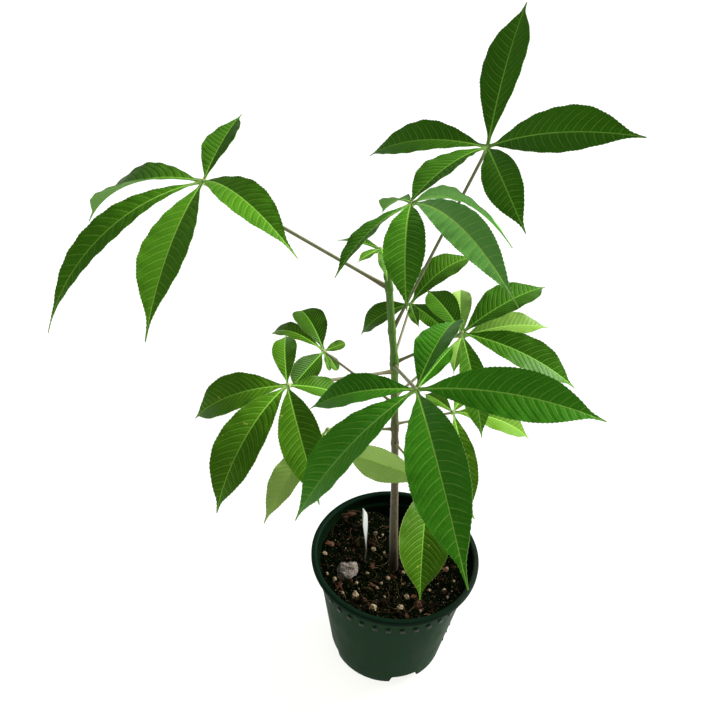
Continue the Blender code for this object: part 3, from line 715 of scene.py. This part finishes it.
def leaf_paints(leaf):
    """The materials of a leaf: blade above, blade beneath, and stalk with hub."""
    above = Paint(leaf.name + "_above", 0.42, Specular_IOR_Level=0.06)
    colour, relief, grain = blade_colour(above, leaf.age, leaf.warmth, False)
    above.bump(relief, 0.55, 0.8)
    above.finish(colour, grain, 0.36, 0.5)
    beneath = Paint(leaf.name + "_beneath", 0.65, Specular_IOR_Level=0.04)
    colour, relief, grain = blade_colour(beneath, leaf.age, leaf.warmth, True)
    beneath.bump(relief * -1.0, 0.5, 0.8)
    beneath.finish(colour, grain, 0.6, 0.72)
    stalk = Paint(leaf.name + "_stalk", 0.5, Specular_IOR_Level=0.2)
    _, share, _, _ = stalk.mark("stalk")
    streak = stalk.noise(stalk.place((1.0, 1.0, 0.25)), 0.8, 3.0)
    colour = stalk.ramp(streak + 0.3 * leaf.age, ((0.10, 0.13, 0.05), (0.20, 0.21, 0.11), (0.30, 0.27, 0.18)))
    colour = stalk.mix(stalk.step(share, 0.0, 0.25, 0.7, 0.0), colour, (0.13, 0.10, 0.045))
    colour = stalk.mix(stalk.step(share, 0.93, 0.995), colour, (0.36, 0.44, 0.17))
    stalk.bump(streak, 0.3, 0.6)
    stalk.finish(colour, streak, 0.42, 0.6)
    return [above.material, beneath.material, stalk.material]


def make_leaf(leaf, number):
    shape = Shape()
    for index, (leaflet, tone) in enumerate(zip(leaf.leaflets, leaf.tones)):
        add_leaflet(shape, leaf, leaflet, tone, PHASE_STEP * index + number)
    add_stalk(shape, leaf)
    return shape.build(leaf.name + "_fine", leaf_paints(leaf))


def make_trunk():
    """The stem with its low rings, the scars under them and fine bark."""
    low, high = TRUNK_LINE[0][2], TRUNK_LINE[-1][2]
    count = round((high - low) / TRUNK_STEP)
    path, radii = [], []
    for index in range(count + 1):
        height = low + (high - low) * index / count
        radius = between(TRUNK_RADII, height)
        for leaf in LEAVES:
            offset = height - leaf.node
            radius += NODE_SWELL * math.exp(-((offset / NODE_LENGTH) ** 2))
            radius -= SCAR_DEPTH * math.exp(-(((offset + NODE_LENGTH) / SCAR_LENGTH) ** 2))
        path.append(trunk_middle(height))
        radii.append(radius)

    def relief(middle, angle):
        spot = around(1.0, angle, middle.z / BARK_STRETCH) * BARK_GRAIN
        return BARK_ROUGHNESS * (noise.noise(spot) + 0.6 * noise.noise(spot * 3.0))

    shape = Shape()
    points, faces = tube(path, radii, TRUNK_SIDES, relief)
    # Each point's side across the trunk, which the bark uses for a painted highlight down its left side.
    turns = [math.tau * (index % TRUNK_SIDES) / TRUNK_SIDES for index in range(len(points))]
    sides = [(-math.cos(turn), 0.0, 0.0) for turn in turns]
    shape.add(points, faces, side=sides)
    paint = Paint("trunk_fine_bark", 0.7, Specular_IOR_Level=0.15)
    place = paint.place()
    _, _, height = paint.split(place)
    streak = paint.noise(paint.place((1.0, 1.0, 0.12)), 0.9, 4.0)
    fleck = paint.noise(place, 0.45, 4.0, 0.65)
    wood = paint.ramp(streak, ((0.045, 0.034, 0.019), (0.100, 0.082, 0.048), (0.20, 0.175, 0.12)))
    green = paint.ramp(streak, ((0.045, 0.11, 0.014), (0.085, 0.19, 0.030), (0.14, 0.26, 0.06)))
    colour = paint.mix(paint.step(fleck * 60.0 + height, 300.0, 375.0), wood, green)
    pits = paint.step(paint.cells(paint.place((1.0, 1.0, 0.6)), 0.5, "F1"), 0.1, 0.3, 0.5, 0.0)
    colour = paint.mix(pits, colour, (0.24, 0.20, 0.15))
    # Painted highlight: the trunk's left side is painted pale, strongest low down, for the light along that
    # side.
    _, left, _, _ = paint.mark("side")
    left_side_highlight = paint.step(left, 0.45, 0.95) * paint.step(height, 150.0, 330.0, 0.8, 0.25)
    colour = paint.mix(left_side_highlight, colour, (0.22, 0.23, 0.20))
    colour = paint.mix(paint.step(height, 110.0, 150.0, 0.85, 0.0), colour, (0.030, 0.020, 0.013))
    paint.bump(streak + fleck, 0.5, 0.7)
    paint.finish(colour, fleck, 0.55, 0.85)
    trunk = shape.build("trunk_fine", [paint.material], 80.0)
    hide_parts("trunk")
    return trunk


def wall_radius(z):
    """The outer radius of the pot's plain wall at a height."""
    top = POT_HEIGHT - LIP_DEPTH - BAND_DEPTH
    return BASE_RADIUS + (WALL_TOP_RADIUS - BASE_RADIUS) * (z - BASE_CORNER) / (top - BASE_CORNER)


def inner_radius(z):
    return wall_radius(z) - WALL


def arc(middle, radius, start, end, steps):
    """Points of (radius, height) on a round corner, from one angle to another."""
    turns = [math.radians(start + (end - start) * index / steps) for index in range(steps + 1)]
    return [(middle[0] + radius * math.cos(turn), middle[1] + radius * math.sin(turn)) for turn in turns]


def bend(before, corner, after, reach, steps=4):
    """Points of (radius, height) that round off a corner between two straight stretches."""
    middle = Vector(corner)
    start = middle + (Vector(before) - middle).normalized() * reach
    end = middle + (Vector(after) - middle).normalized() * reach
    shares = [index / steps for index in range(steps + 1)]
    return [tuple(start.lerp(middle, share).lerp(middle.lerp(end, share), share)) for share in shares]


def pot_profile():
    """The wall's outline from the middle of the floor, up inside, over the lip and down."""
    band_top = POT_HEIGHT - LIP_DEPTH
    band_low = band_top - BAND_DEPTH
    lip_round = 1.2
    inner_band = BAND_RADIUS - WALL
    foot = BASE_RADIUS - BASE_CORNER
    inner_corner = BASE_CORNER + WALL / 2.0
    profile = [(0.0, FLOOR), (foot * 0.5, FLOOR), (foot, FLOOR)]
    profile += [(inner_radius(z), z) for z in (inner_corner, 30.0, 60.0, 90.0, band_low - 1.0)]
    profile += [(inner_band - 0.3, band_low + 0.6), (inner_band, band_low + 1.6)]
    profile += arc((inner_band + 2.0, POT_HEIGHT - 2.0), 2.0, 180.0, 90.0, 5)
    profile += arc((LIP_RADIUS - lip_round, POT_HEIGHT - lip_round), lip_round, 90.0, 0.0, 5)
    profile += arc((LIP_RADIUS - lip_round, band_top + lip_round), lip_round, 0.0, -90.0, 5)
    profile += arc((BAND_RADIUS + 1.0, band_top - 1.0), 1.0, 90.0, 180.0, 4)
    profile += arc((BAND_RADIUS - 1.0, band_low + 1.0), 1.0, 0.0, -90.0, 4)
    profile += [(wall_radius(z), z) for z in (band_low - 0.6, 100.0, 75.0, 50.0, 25.0)]
    profile += bend((WALL_TOP_RADIUS, band_low), (BASE_RADIUS, BASE_CORNER), (foot, 0.0), BASE_BEND)
    profile += bend((BASE_RADIUS, BASE_CORNER), (foot, 0.0), (0.0, 0.0), BASE_BEND)
    return profile + [(foot * 0.5, 0.0), (0.0, 0.0)]


def lathe(profile, sides):
    """Points and faces of a profile turned round Z. Its two ends lie on the axis."""
    points = []
    for radius, z in profile[1:-1]:
        points += [around(radius, math.tau * index / sides, z) for index in range(sides)]
    faces = band_faces(len(profile) - 2, sides)
    first, last = len(points), len(points) + 1
    points += [Vector((0.0, 0.0, profile[0][1])), Vector((0.0, 0.0, profile[-1][1]))]
    end = (len(profile) - 3) * sides
    for index in range(sides):
        after = (index + 1) % sides
        faces.append((first, after, index))
        faces.append((last, end + index, end + after))
    return points, faces


def soft_box(size, angle, radius, z, bevel):
    """Points and faces of a box with rounded edges, placed round the pot."""
    turn = Matrix.Rotation(math.radians(angle), 4, "Z")
    place = turn @ Matrix.Translation(Vector((radius, 0.0, z)))
    bm = bmesh.new()
    bmesh.ops.create_cube(bm, size=1.0, matrix=Matrix.Diagonal((*size, 1.0)))
    bmesh.ops.bevel(bm, geom=bm.edges[:], offset=bevel, segments=3, profile=0.5, affect="EDGES")
    bmesh.ops.transform(bm, matrix=place, verts=bm.verts)
    return mesh_parts(bm)


def notch_block(angle):
    """Points and faces of a soft block that narrows upwards, for one drain notch."""
    depth = NOTCH_HEIGHT + 1.0
    turn = Matrix.Rotation(math.radians(angle), 4, "Z")
    middle = Matrix.Translation(Vector((BASE_RADIUS, 0.0, NOTCH_HEIGHT - depth / 2.0)))
    stretch = Matrix.Diagonal((NOTCH_REACH / SQUARE_HALF, NOTCH_WIDTH / 2.0 / SQUARE_HALF, depth, 1.0))
    square = Matrix.Rotation(math.radians(45.0), 4, "Z")
    bm = bmesh.new()
    bmesh.ops.create_cone(bm, cap_ends=True, segments=4, radius1=1.0, radius2=NOTCH_TAPER, depth=1.0,
                          matrix=turn @ middle @ stretch @ square)
    bmesh.ops.bevel(bm, geom=bm.edges[:], offset=NOTCH_BEVEL, segments=3, profile=0.5, affect="EDGES")
    return mesh_parts(bm)


def make_pot():
    wall = Shape()
    wall.add(*lathe(pot_profile(), POT_SIDES))
    pot = wall.build("pot_fine", [pot_paint(), pot_inside_shade_paint()], 40.0)
    notches = Shape()
    for index in range(NOTCH_COUNT):
        notches.add(*notch_block(NOTCH_TURN + 360.0 * index / NOTCH_COUNT))
    cutter = notches.build("pot_notches", [])
    cut = pot.modifiers.new("notches", "BOOLEAN")
    cut.operation = "DIFFERENCE"
    cut.solver = "EXACT"
    cut.object = cutter
    bpy.context.view_layer.update()
    mesh = bpy.data.meshes.new_from_object(pot.evaluated_get(bpy.context.evaluated_depsgraph_get()))
    pot.modifiers.clear()
    pot.data = mesh
    bpy.data.objects.remove(cutter, do_unlink=True)
    mesh.set_sharp_from_angle(angle=math.radians(40.0))
    # Inner faces below the lip take the inside paint, which is painted shade.
    for face in mesh.polygons:
        inward = face.normal.x * face.center.x + face.normal.y * face.center.y < 0.0
        if inward and FLOOR < face.center.z / MM < POT_HEIGHT - LIP_DEPTH / 2.0:
            face.material_index = 1
    studs = Shape()
    places = [(NUB_TURN + 360.0 * index / NUB_COUNT, NUB_HEIGHT) for index in range(NUB_COUNT)]
    places += [(SIDE_NUB_ANGLE, height) for height in SIDE_NUB_HEIGHTS]
    size = (2.0 * NUB_STAND, NUB_WIDTH, NUB_WIDTH)
    for angle, height in places:
        studs.add(*soft_box(size, angle, wall_radius(height), height, NUB_BEVEL))
    row = studs.build("pot_studs", [stud_shade_paint()], 40.0)
    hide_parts("pot")
    return [pot, row]


def pot_paint():
    """Dark green plastic: a darker lip, faint flow marks, scuffs, and a painted sheen down its right side for
    the light that grazes it there.
    """
    paint = Paint("pot_fine_plastic", 0.42, Specular_IOR_Level=0.01)
    place = paint.place()
    x, _, z = paint.split(place)
    cloud = paint.noise(place, 0.03, 4.0)
    flow = paint.noise(paint.place((1.0, 1.0, 0.3)), 0.12, 3.0)
    speck = paint.noise(place, 1.3, 2.0)
    wall = paint.ramp(cloud, ((0.005, 0.025, 0.008), (0.008, 0.033, 0.012), (0.012, 0.041, 0.016)))
    lip = paint.ramp(cloud, ((0.003, 0.010, 0.005), (0.004, 0.014, 0.007), (0.006, 0.018, 0.010)))
    band = POT_HEIGHT - LIP_DEPTH
    colour = paint.mix(paint.step(z, band - 1.5, band), wall, lip)
    # Painted sheen: a pale colour on the wall's right side, weaker on the lip and broken up by the flow
    # marks, for the light grazing that side.
    right_side_sheen = paint.step(x, 40.0, 66.0, 0.03, 0.55) * paint.step(flow, 0.2, 0.7, 0.4, 1.0)
    right_side_sheen *= paint.step(z, band - 1.5, band, 1.0, 0.3)
    colour = paint.mix(right_side_sheen, colour, (0.085, 0.092, 0.074))
    colour = paint.mix(paint.step(speck, 0.7, 0.78, 0.0, 0.2), colour, (0.07, 0.08, 0.06))
    paint.bump(speck, 0.05, 0.5)
    return paint.finish(colour, cloud + flow, 0.36, 0.5, (0.7, 1.3))


def stud_shade_paint():
    """The studs' plastic, painted nearly black as the shade they stand in, with a thin shine on their edges.
    """
    paint = Paint("pot_studs_shaded_plastic", 0.3, Specular_IOR_Level=0.15)
    place = paint.place()
    cloud = paint.noise(place, 0.2, 3.0)
    fine = paint.noise(place, 1.5, 2.0)
    # Painted shade: the studs are set much darker than the wall's plastic.
    colour = paint.ramp(cloud, ((0.001, 0.005, 0.002), (0.002, 0.009, 0.004), (0.004, 0.013, 0.007)))
    paint.bump(fine, 0.05, 0.5)
    return paint.finish(colour, fine, 0.25, 0.4)


def pot_inside_shade_paint():
    """The wall's inner face, matt and painted near black as the shade inside the pot, with faint patches of
    wet soil.
    """
    paint = Paint("pot_fine_inside_painted_shade", 0.9, Specular_IOR_Level=0.0)
    place = paint.place()
    shade_cloud = paint.noise(place, 0.15, 4.0)
    fine = paint.noise(place, 1.1, 3.0)
    # Painted shade: the inner face's plastic is set near black, far darker than the outer wall.
    colour = paint.ramp(shade_cloud, ((0.0012, 0.0040, 0.0014), (0.0022, 0.0075, 0.0026), (0.005, 0.011, 0.005)))
    colour = paint.mix(paint.step(fine, 0.62, 0.72, 0.0, 0.5), colour, (0.012, 0.010, 0.006))
    paint.bump(fine, 0.15, 0.5)
    return paint.finish(colour, fine, 0.8, 0.95)


def soil_height(x, y):
    """The soil's surface: a slope, two mounds, soft heaps and crumbs, from seeded noise."""
    height = SOIL_TOP + SOIL_SLOPE * x
    for place_x, place_y, rise, reach in SOIL_MOUNDS:
        away = math.hypot(x - place_x, y - place_y) / reach
        height += rise * math.exp(-away * away)
    heaps = noise.noise(Vector((x, y, SOIL_SEED)) / (2.0 * SOIL_GRAIN))
    crumbs = noise.noise(Vector((x, y, SOIL_SEED)) * 2.0 / SOIL_GRAIN)
    return height + SOIL_ROUGHNESS * (heaps + CRUMB_SHARE * crumbs)


def add_soil_body(shape):
    """The filled mix: a rough top, a side along the pot's wall and a flat bottom."""
    low = FLOOR + SOIL_GAP
    points = [around(0.0, 0.0, soil_height(0.0, 0.0))]
    turns = [math.tau * index / SOIL_SECTORS for index in range(SOIL_SECTORS)]
    for ring in range(1, SOIL_RINGS + 1):
        for turn in turns:
            point = around((inner_radius(SOIL_TOP) - SOIL_GAP) * ring / SOIL_RINGS, turn, FINE_SEED)
            height = soil_height(point.x, point.y)
            height += sum(depth * noise.noise(point / grain) for grain, depth in FINE_GRAINS)
            if ring == SOIL_RINGS:
                point = around(inner_radius(height) - SOIL_GAP, turn, height)
            points.append(Vector((point.x, point.y, height)))
    shoulder = NOTCH_HEIGHT + SOIL_SHOULDER
    foot = BASE_RADIUS - NOTCH_REACH - SOIL_SHOULDER
    for radius, height in ((inner_radius(shoulder) - SOIL_GAP, shoulder), (foot, low)):
        points += [around(radius, turn, height) for turn in turns]
    faces = [(0, index + 1, (index + 1) % SOIL_SECTORS + 1) for index in range(SOIL_SECTORS)]
    bands = band_faces(SOIL_RINGS + 2, SOIL_SECTORS)
    faces += [tuple(index + 1 for index in (face[0], face[3], face[2], face[1])) for face in bands]
    faces.append(tuple(range(len(points) - 1, len(points) - 1 - SOIL_SECTORS, -1)))
    shape.add(points, faces, 0, grain=(0.3, 0.0, 0.0))


def random_turn(draw):
    axis = Vector((draw.uniform(-1, 1), draw.uniform(-1, 1), draw.uniform(-1, 1))).normalized()
    return Matrix.Rotation(draw.uniform(0.0, math.tau), 3, axis)


def random_spot(draw, reach):
    away = reach * math.sqrt(draw.random())
    spot = around(away, draw.uniform(0.0, math.tau), 0.0)
    return spot.x, spot.y


def add_straw(shape, start, end, bow, radius, draw):
    """A thin bent straw that lies on the soil."""
    first, last = Vector((*start, 0.0)), Vector((*end, 0.0))
    side = (last - first).cross(Vector((0.0, 0.0, 1.0))).normalized()
    lift = draw.uniform(0.0, STRAW_LIFT)
    path, radii = [], []
    for index in range(STRAW_STEPS + 1):
        share = index / STRAW_STEPS
        arch = math.sin(math.pi * share)
        spot = first.lerp(last, share) + side * (bow * arch)
        wiggle = noise.noise(spot * 0.3) * STRAW_WIGGLE
        height = soil_height(spot.x, spot.y) + STRAW_RISE + lift * arch + wiggle
        path.append(Vector((spot.x, spot.y, height)))
        radii.append(radius * (1.0 - 0.5 * abs(2.0 * share - 1.0)))
    points, faces = tube(path, radii, STRAW_SIDES)
    shape.add(points, faces, STRAW_PAINT, grain=(draw.random(), 0.0, 0.0))


def add_grit(shape, x, y, size, grit, draw):
    """A grain, a flake or a bead that lies partly sunk in the soil, turned at random."""
    stretch = (1.0, draw.uniform(*grit.widths), draw.uniform(*grit.depths))
    middle = (x, y, soil_height(x, y) + grit.rise * size)
    tone = (draw.random(), 0.0, 0.0)
    turn, seed = random_turn(draw), draw.uniform(0, 90)
    add_ball(shape, middle, size, stretch, turn, grit.rough, seed, grit.detail, grit.paint, grain=tone)


def make_soil():
    """The soil with crumbs, bark, perlite, straws and one pale lump."""
    draw = random.Random(SOIL_SEED)
    shape = Shape()
    add_soil_body(shape)
    for _ in range(CRUMB_COUNT):
        x, y = random_spot(draw, GRIT_SPREAD)
        add_grit(shape, x, y, draw.uniform(*CRUMB_SIZES) * draw.uniform(*CRUMB_SHRINK), CRUMB, draw)
    for _ in range(BARK_COUNT):
        add_grit(shape, *random_spot(draw, BARK_SPREAD), draw.uniform(*BARK_SIZES), FLAKE, draw)
    for x, y, size in CHUNKS:
        add_grit(shape, x, y, size, FLAKE, draw)
    for x, y, size in PERLITE:
        add_grit(shape, x, y, size, BEAD, draw)
    for _ in range(DUST_COUNT):
        x, y = random_spot(draw, GRIT_SPREAD)
        size = draw.uniform(*DUST_SIZES)
        middle = (x, y, soil_height(x, y) + size)
        turn = random_turn(draw)
        add_ball(shape, middle, size, DUST_STRETCH, turn, 0.3, x, 1, PERLITE_PAINT, grain=MID_TONE)
    for start, end, bow, radius in LONG_STRAWS:
        add_straw(shape, start, end, bow, radius, draw)
    for _ in range(STRAW_COUNT):
        x, y = random_spot(draw, STRAW_SPREAD)
        turn, length = draw.uniform(0.0, math.tau), draw.uniform(*STRAW_LENGTHS)
        reach = around(length / 2.0, turn, 0.0)
        ends = (x - reach.x, y - reach.y), (x + reach.x, y + reach.y)
        if max(math.hypot(*end) for end in ends) < GRIT_SPREAD:
            bow = draw.uniform(-STRAW_BOW, STRAW_BOW) * length
            add_straw(shape, *ends, bow, draw.uniform(*STRAW_RADII), draw)
    x, y, size = LUMP
    middle = (x, y, soil_height(x, y) + LUMP_RISE * size)
    turn = Matrix.Rotation(LUMP_TURN, 3, "Z")
    add_ball(shape, middle, size, LUMP_STRETCH, turn, 0.3, 5.0, 4, LUMP_PAINT, grain=MID_TONE)
    soil = shape.build("soil_fine", soil_paints(), 38.0)
    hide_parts("soil")
    return soil


def soil_paints():
    """Soil, bark, perlite, straw and the speckled lump. The soil's base is painted nearly black as the shade
    inside the pot.
    """
    soil = Paint("soil_crumbs_painted_shade", 0.95, Specular_IOR_Level=0.0)
    _, tone, _, _ = soil.mark("grain")
    place = soil.place()
    fine, coarse = soil.noise(place, 0.9, 5.0, 0.7), soil.noise(place, 0.14, 3.0)
    # Painted shade: the soil's crumbs are set nearly black for the shade that fills the pot.
    colour = soil.ramp(soil.step(tone * 0.35 + coarse * 0.4 + fine, 0.55, 1.15), (
        (0.0003, 0.0009, 0.0002), (0.0008, 0.0018, 0.0005), (0.0024, 0.0036, 0.0013), (0.010, 0.011, 0.005)))
    for size, spread, bit in ((0.42, 0.16, (0.060, 0.030, 0.014)), (0.6, 0.45, (0.12, 0.115, 0.070)),
                              (0.8, 0.9, (0.022, 0.034, 0.014))):
        bits = soil.step(soil.cells(place, size, "F1"), 0.16, 0.28, 0.85, 0.0)
        some = soil.step(soil.noise(place, spread, 1.0), 0.54, 0.6)
        colour = soil.mix(bits * some, colour, bit)
    soil.bump(fine, 0.9, 1.0)
    soil.finish(colour, fine, 0.8, 1.0)
    bark = Paint("soil_bark", 0.85, Specular_IOR_Level=0.03)
    _, tone, _, _ = bark.mark("grain")
    fibre = bark.noise(bark.place((1.0, 0.35, 1.0)), 1.0, 4.0, 0.65)
    colour = bark.ramp(bark.step(tone * 0.6 + fibre * 0.7, 0.2, 1.0), (
        (0.0015, 0.0014, 0.0007), (0.005, 0.0032, 0.0015), (0.022, 0.011, 0.006), (0.085, 0.040, 0.024)))
    bark.bump(fibre, 0.8, 0.9)
    bark.finish(colour, fibre, 0.7, 0.95)
    perlite = Paint("soil_perlite", 0.9, Specular_IOR_Level=0.3)
    _, tone, _, _ = perlite.mark("grain")
    place = perlite.place()
    pores, stain = perlite.cells(place, 1.6), perlite.noise(place, 0.35, 3.0)
    colour = perlite.ramp(stain * 0.8 + tone * 0.3, (
        (0.06, 0.038, 0.020), (0.20, 0.135, 0.075), (0.36, 0.275, 0.170), (0.48, 0.400, 0.280)))
    colour = perlite.mix(perlite.step(pores, 0.0, 0.12, 0.45, 0.0), colour, (0.12, 0.09, 0.06))
    perlite.bump(pores, 0.5, 0.8)
    perlite.finish(colour, stain, 0.8, 0.95)
    straw = Paint("soil_straw", 0.75, Specular_IOR_Level=0.05)
    _, tone, _, _ = straw.mark("grain")
    fibre = straw.noise(straw.place(), 0.7, 3.0)
    colour = straw.ramp(fibre * 0.4 + tone * 0.8, (
        (0.008, 0.004, 0.002), (0.026, 0.013, 0.007), (0.075, 0.042, 0.020), (0.19, 0.12, 0.06)))
    straw.bump(fibre, 0.2, 0.6)
    straw.finish(colour, fibre, 0.65, 0.85)
    lump = Paint("soil_lump", 0.95, Specular_IOR_Level=0.2)
    place = lump.place()
    fine, pores = lump.noise(place, 1.1, 4.0, 0.7), lump.cells(place, 0.7)
    colour = lump.ramp(lump.step(fine, 0.32, 0.68), (
        (0.030, 0.022, 0.018), (0.14, 0.11, 0.095), (0.32, 0.275, 0.24), (0.50, 0.45, 0.41)))
    colour = lump.mix(lump.step(pores, 0.0, 0.1, 0.7, 0.0), colour, (0.020, 0.015, 0.012))
    lump.bump(fine + pores, 1.0, 1.0)
    lump.finish(colour, fine, 0.85, 1.0)
    return [paint.material for paint in (soil, bark, perlite, straw, lump)]


def label_width(share):
    """The label's width, with its two upper corners cut off to a blunt point."""
    width = slope_line(LABEL_SHAPE, share)
    below = (1.0 - share) * LABEL_HEIGHT
    if below < LABEL_CORNER:
        width *= 0.12 + 0.88 * max(below / LABEL_CORNER, 0.0) ** 0.8
    return width


def make_label():
    points = []
    bevel = LABEL_THICKNESS / 4.0
    for row in range(LABEL_ROWS + 1):
        height = -LABEL_DEPTH + (LABEL_HEIGHT + LABEL_DEPTH) * row / LABEL_ROWS
        share = height / LABEL_HEIGHT
        above = max(share, 0.0)
        turn = math.radians(LABEL_TURN + LABEL_TWIST * max(share - LABEL_TWIST_FROM, 0.0))
        wide = Vector((math.cos(turn), math.sin(turn), 0.0))
        thick = Vector((-math.sin(turn), math.cos(turn), 0.0))
        bow = 4.0 * LABEL_BOW * above * (1.0 - above)
        lean = Vector((LABEL_LEAN[0] * above + bow, LABEL_LEAN[1] * above, 0.0))
        middle = Vector((LABEL_FOOT[0], LABEL_FOOT[1], SOIL_TOP + height)) + lean
        half, deep = label_width(share) / 2.0, LABEL_THICKNESS / 2.0
        for reach, side in LABEL_SECTION:
            across = deep if abs(side) == 1 else deep - bevel
            points.append(middle + wide * (half * reach) + thick * (across * side))
    count = len(LABEL_SECTION)
    faces = band_faces(LABEL_ROWS + 1, count)
    faces += [tuple(reversed(range(count))), tuple(range(len(points) - count, len(points)))]
    shape = Shape()
    shape.add(points, faces)
    paint = Paint("label_fine_plastic", 0.45, Specular_IOR_Level=0.4)
    place = paint.place()
    _, _, height = paint.split(place)
    cloud = paint.noise(place, 0.12, 3.0)
    fine = paint.noise(paint.place((1.0, 1.0, 0.2)), 1.2, 3.0)
    colour = paint.ramp(cloud, ((0.36, 0.39, 0.39), (0.42, 0.45, 0.44), (0.47, 0.49, 0.49)))
    dirt = paint.step(height, 132.0, 157.0, 0.95, 0.04) * paint.step(fine, 0.2, 0.6, 0.75, 1.0)
    colour = paint.mix(dirt, colour, (0.05, 0.035, 0.025))
    paint.bump(fine, 0.15, 0.5)
    paint.finish(colour, fine, 0.38, 0.6)
    label = shape.build("label_fine", [paint.material], 50.0)
    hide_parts("plant_label")
    return label


def make_floor():
    bm = bmesh.new()
    bmesh.ops.create_grid(bm, x_segments=1, y_segments=1, size=FLOOR_SIZE / 2.0 * MM)
    mesh = bpy.data.meshes.new("studio_floor")
    bm.to_mesh(mesh)
    bm.free()
    floor = bpy.data.objects.new("studio_floor", mesh)
    bpy.context.scene.collection.objects.link(floor)
    paint = Paint("studio_floor_paper", 0.9, Specular_IOR_Level=0.0)
    cloud = paint.noise(paint.place(), 0.002, 2.0)
    colour = paint.ramp(cloud, ((0.93, 0.935, 0.94), (0.95, 0.95, 0.95)))
    mesh.materials.append(paint.finish(colour))


def make_light():
    world = bpy.data.worlds.new("studio")
    world.use_nodes = True
    back = world.node_tree.nodes["Background"]
    back.inputs[0].default_value = WORLD_COLOUR
    back.inputs[1].default_value = WORLD_STRENGTH
    bpy.context.scene.world = world
    for lamp in LAMPS:
        data = bpy.data.lights.new(lamp.name, "SUN")
        data.angle = math.radians(lamp.spread)
        data.energy = lamp.strength
        data.use_shadow = lamp.shadow
        data.color = lamp.colour
        light = bpy.data.objects.new(lamp.name, data)
        light.rotation_euler = Vector(lamp.towards).to_track_quat("Z", "Y").to_euler()
        bpy.context.scene.collection.objects.link(light)
    bpy.context.scene.view_settings.view_transform = "Standard"


def make_camera():
    """The photo's viewpoint: level to the right, turned down, then rolled about its own axis."""
    data = bpy.data.cameras.new("photo_view")
    data.sensor_width = SENSOR
    data.lens = SENSOR * FOCAL_PIXELS / PHOTO_PIXELS
    camera = bpy.data.objects.new("photo_view", data)
    turn = Matrix.Rotation(math.radians(90.0 - CAMERA_DOWN), 4, "X")
    roll = Matrix.Rotation(math.radians(CAMERA_ROLL), 4, "Z")
    camera.matrix_world = Matrix.Translation(Vector(CAMERA_PLACE) * MM) @ turn @ roll
    bpy.context.scene.collection.objects.link(camera)
    bpy.context.scene.camera = camera


def main():
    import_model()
    pieces = [*make_pot(), make_soil(), make_trunk(), make_label()]
    for number, leaf in enumerate(LEAVES):
        piece = make_leaf(leaf, number)
        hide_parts(leaf.name)
        pieces.append(piece)
    for piece in pieces:
        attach(piece, "root")
    make_floor()
    make_light()
    make_camera()


main()
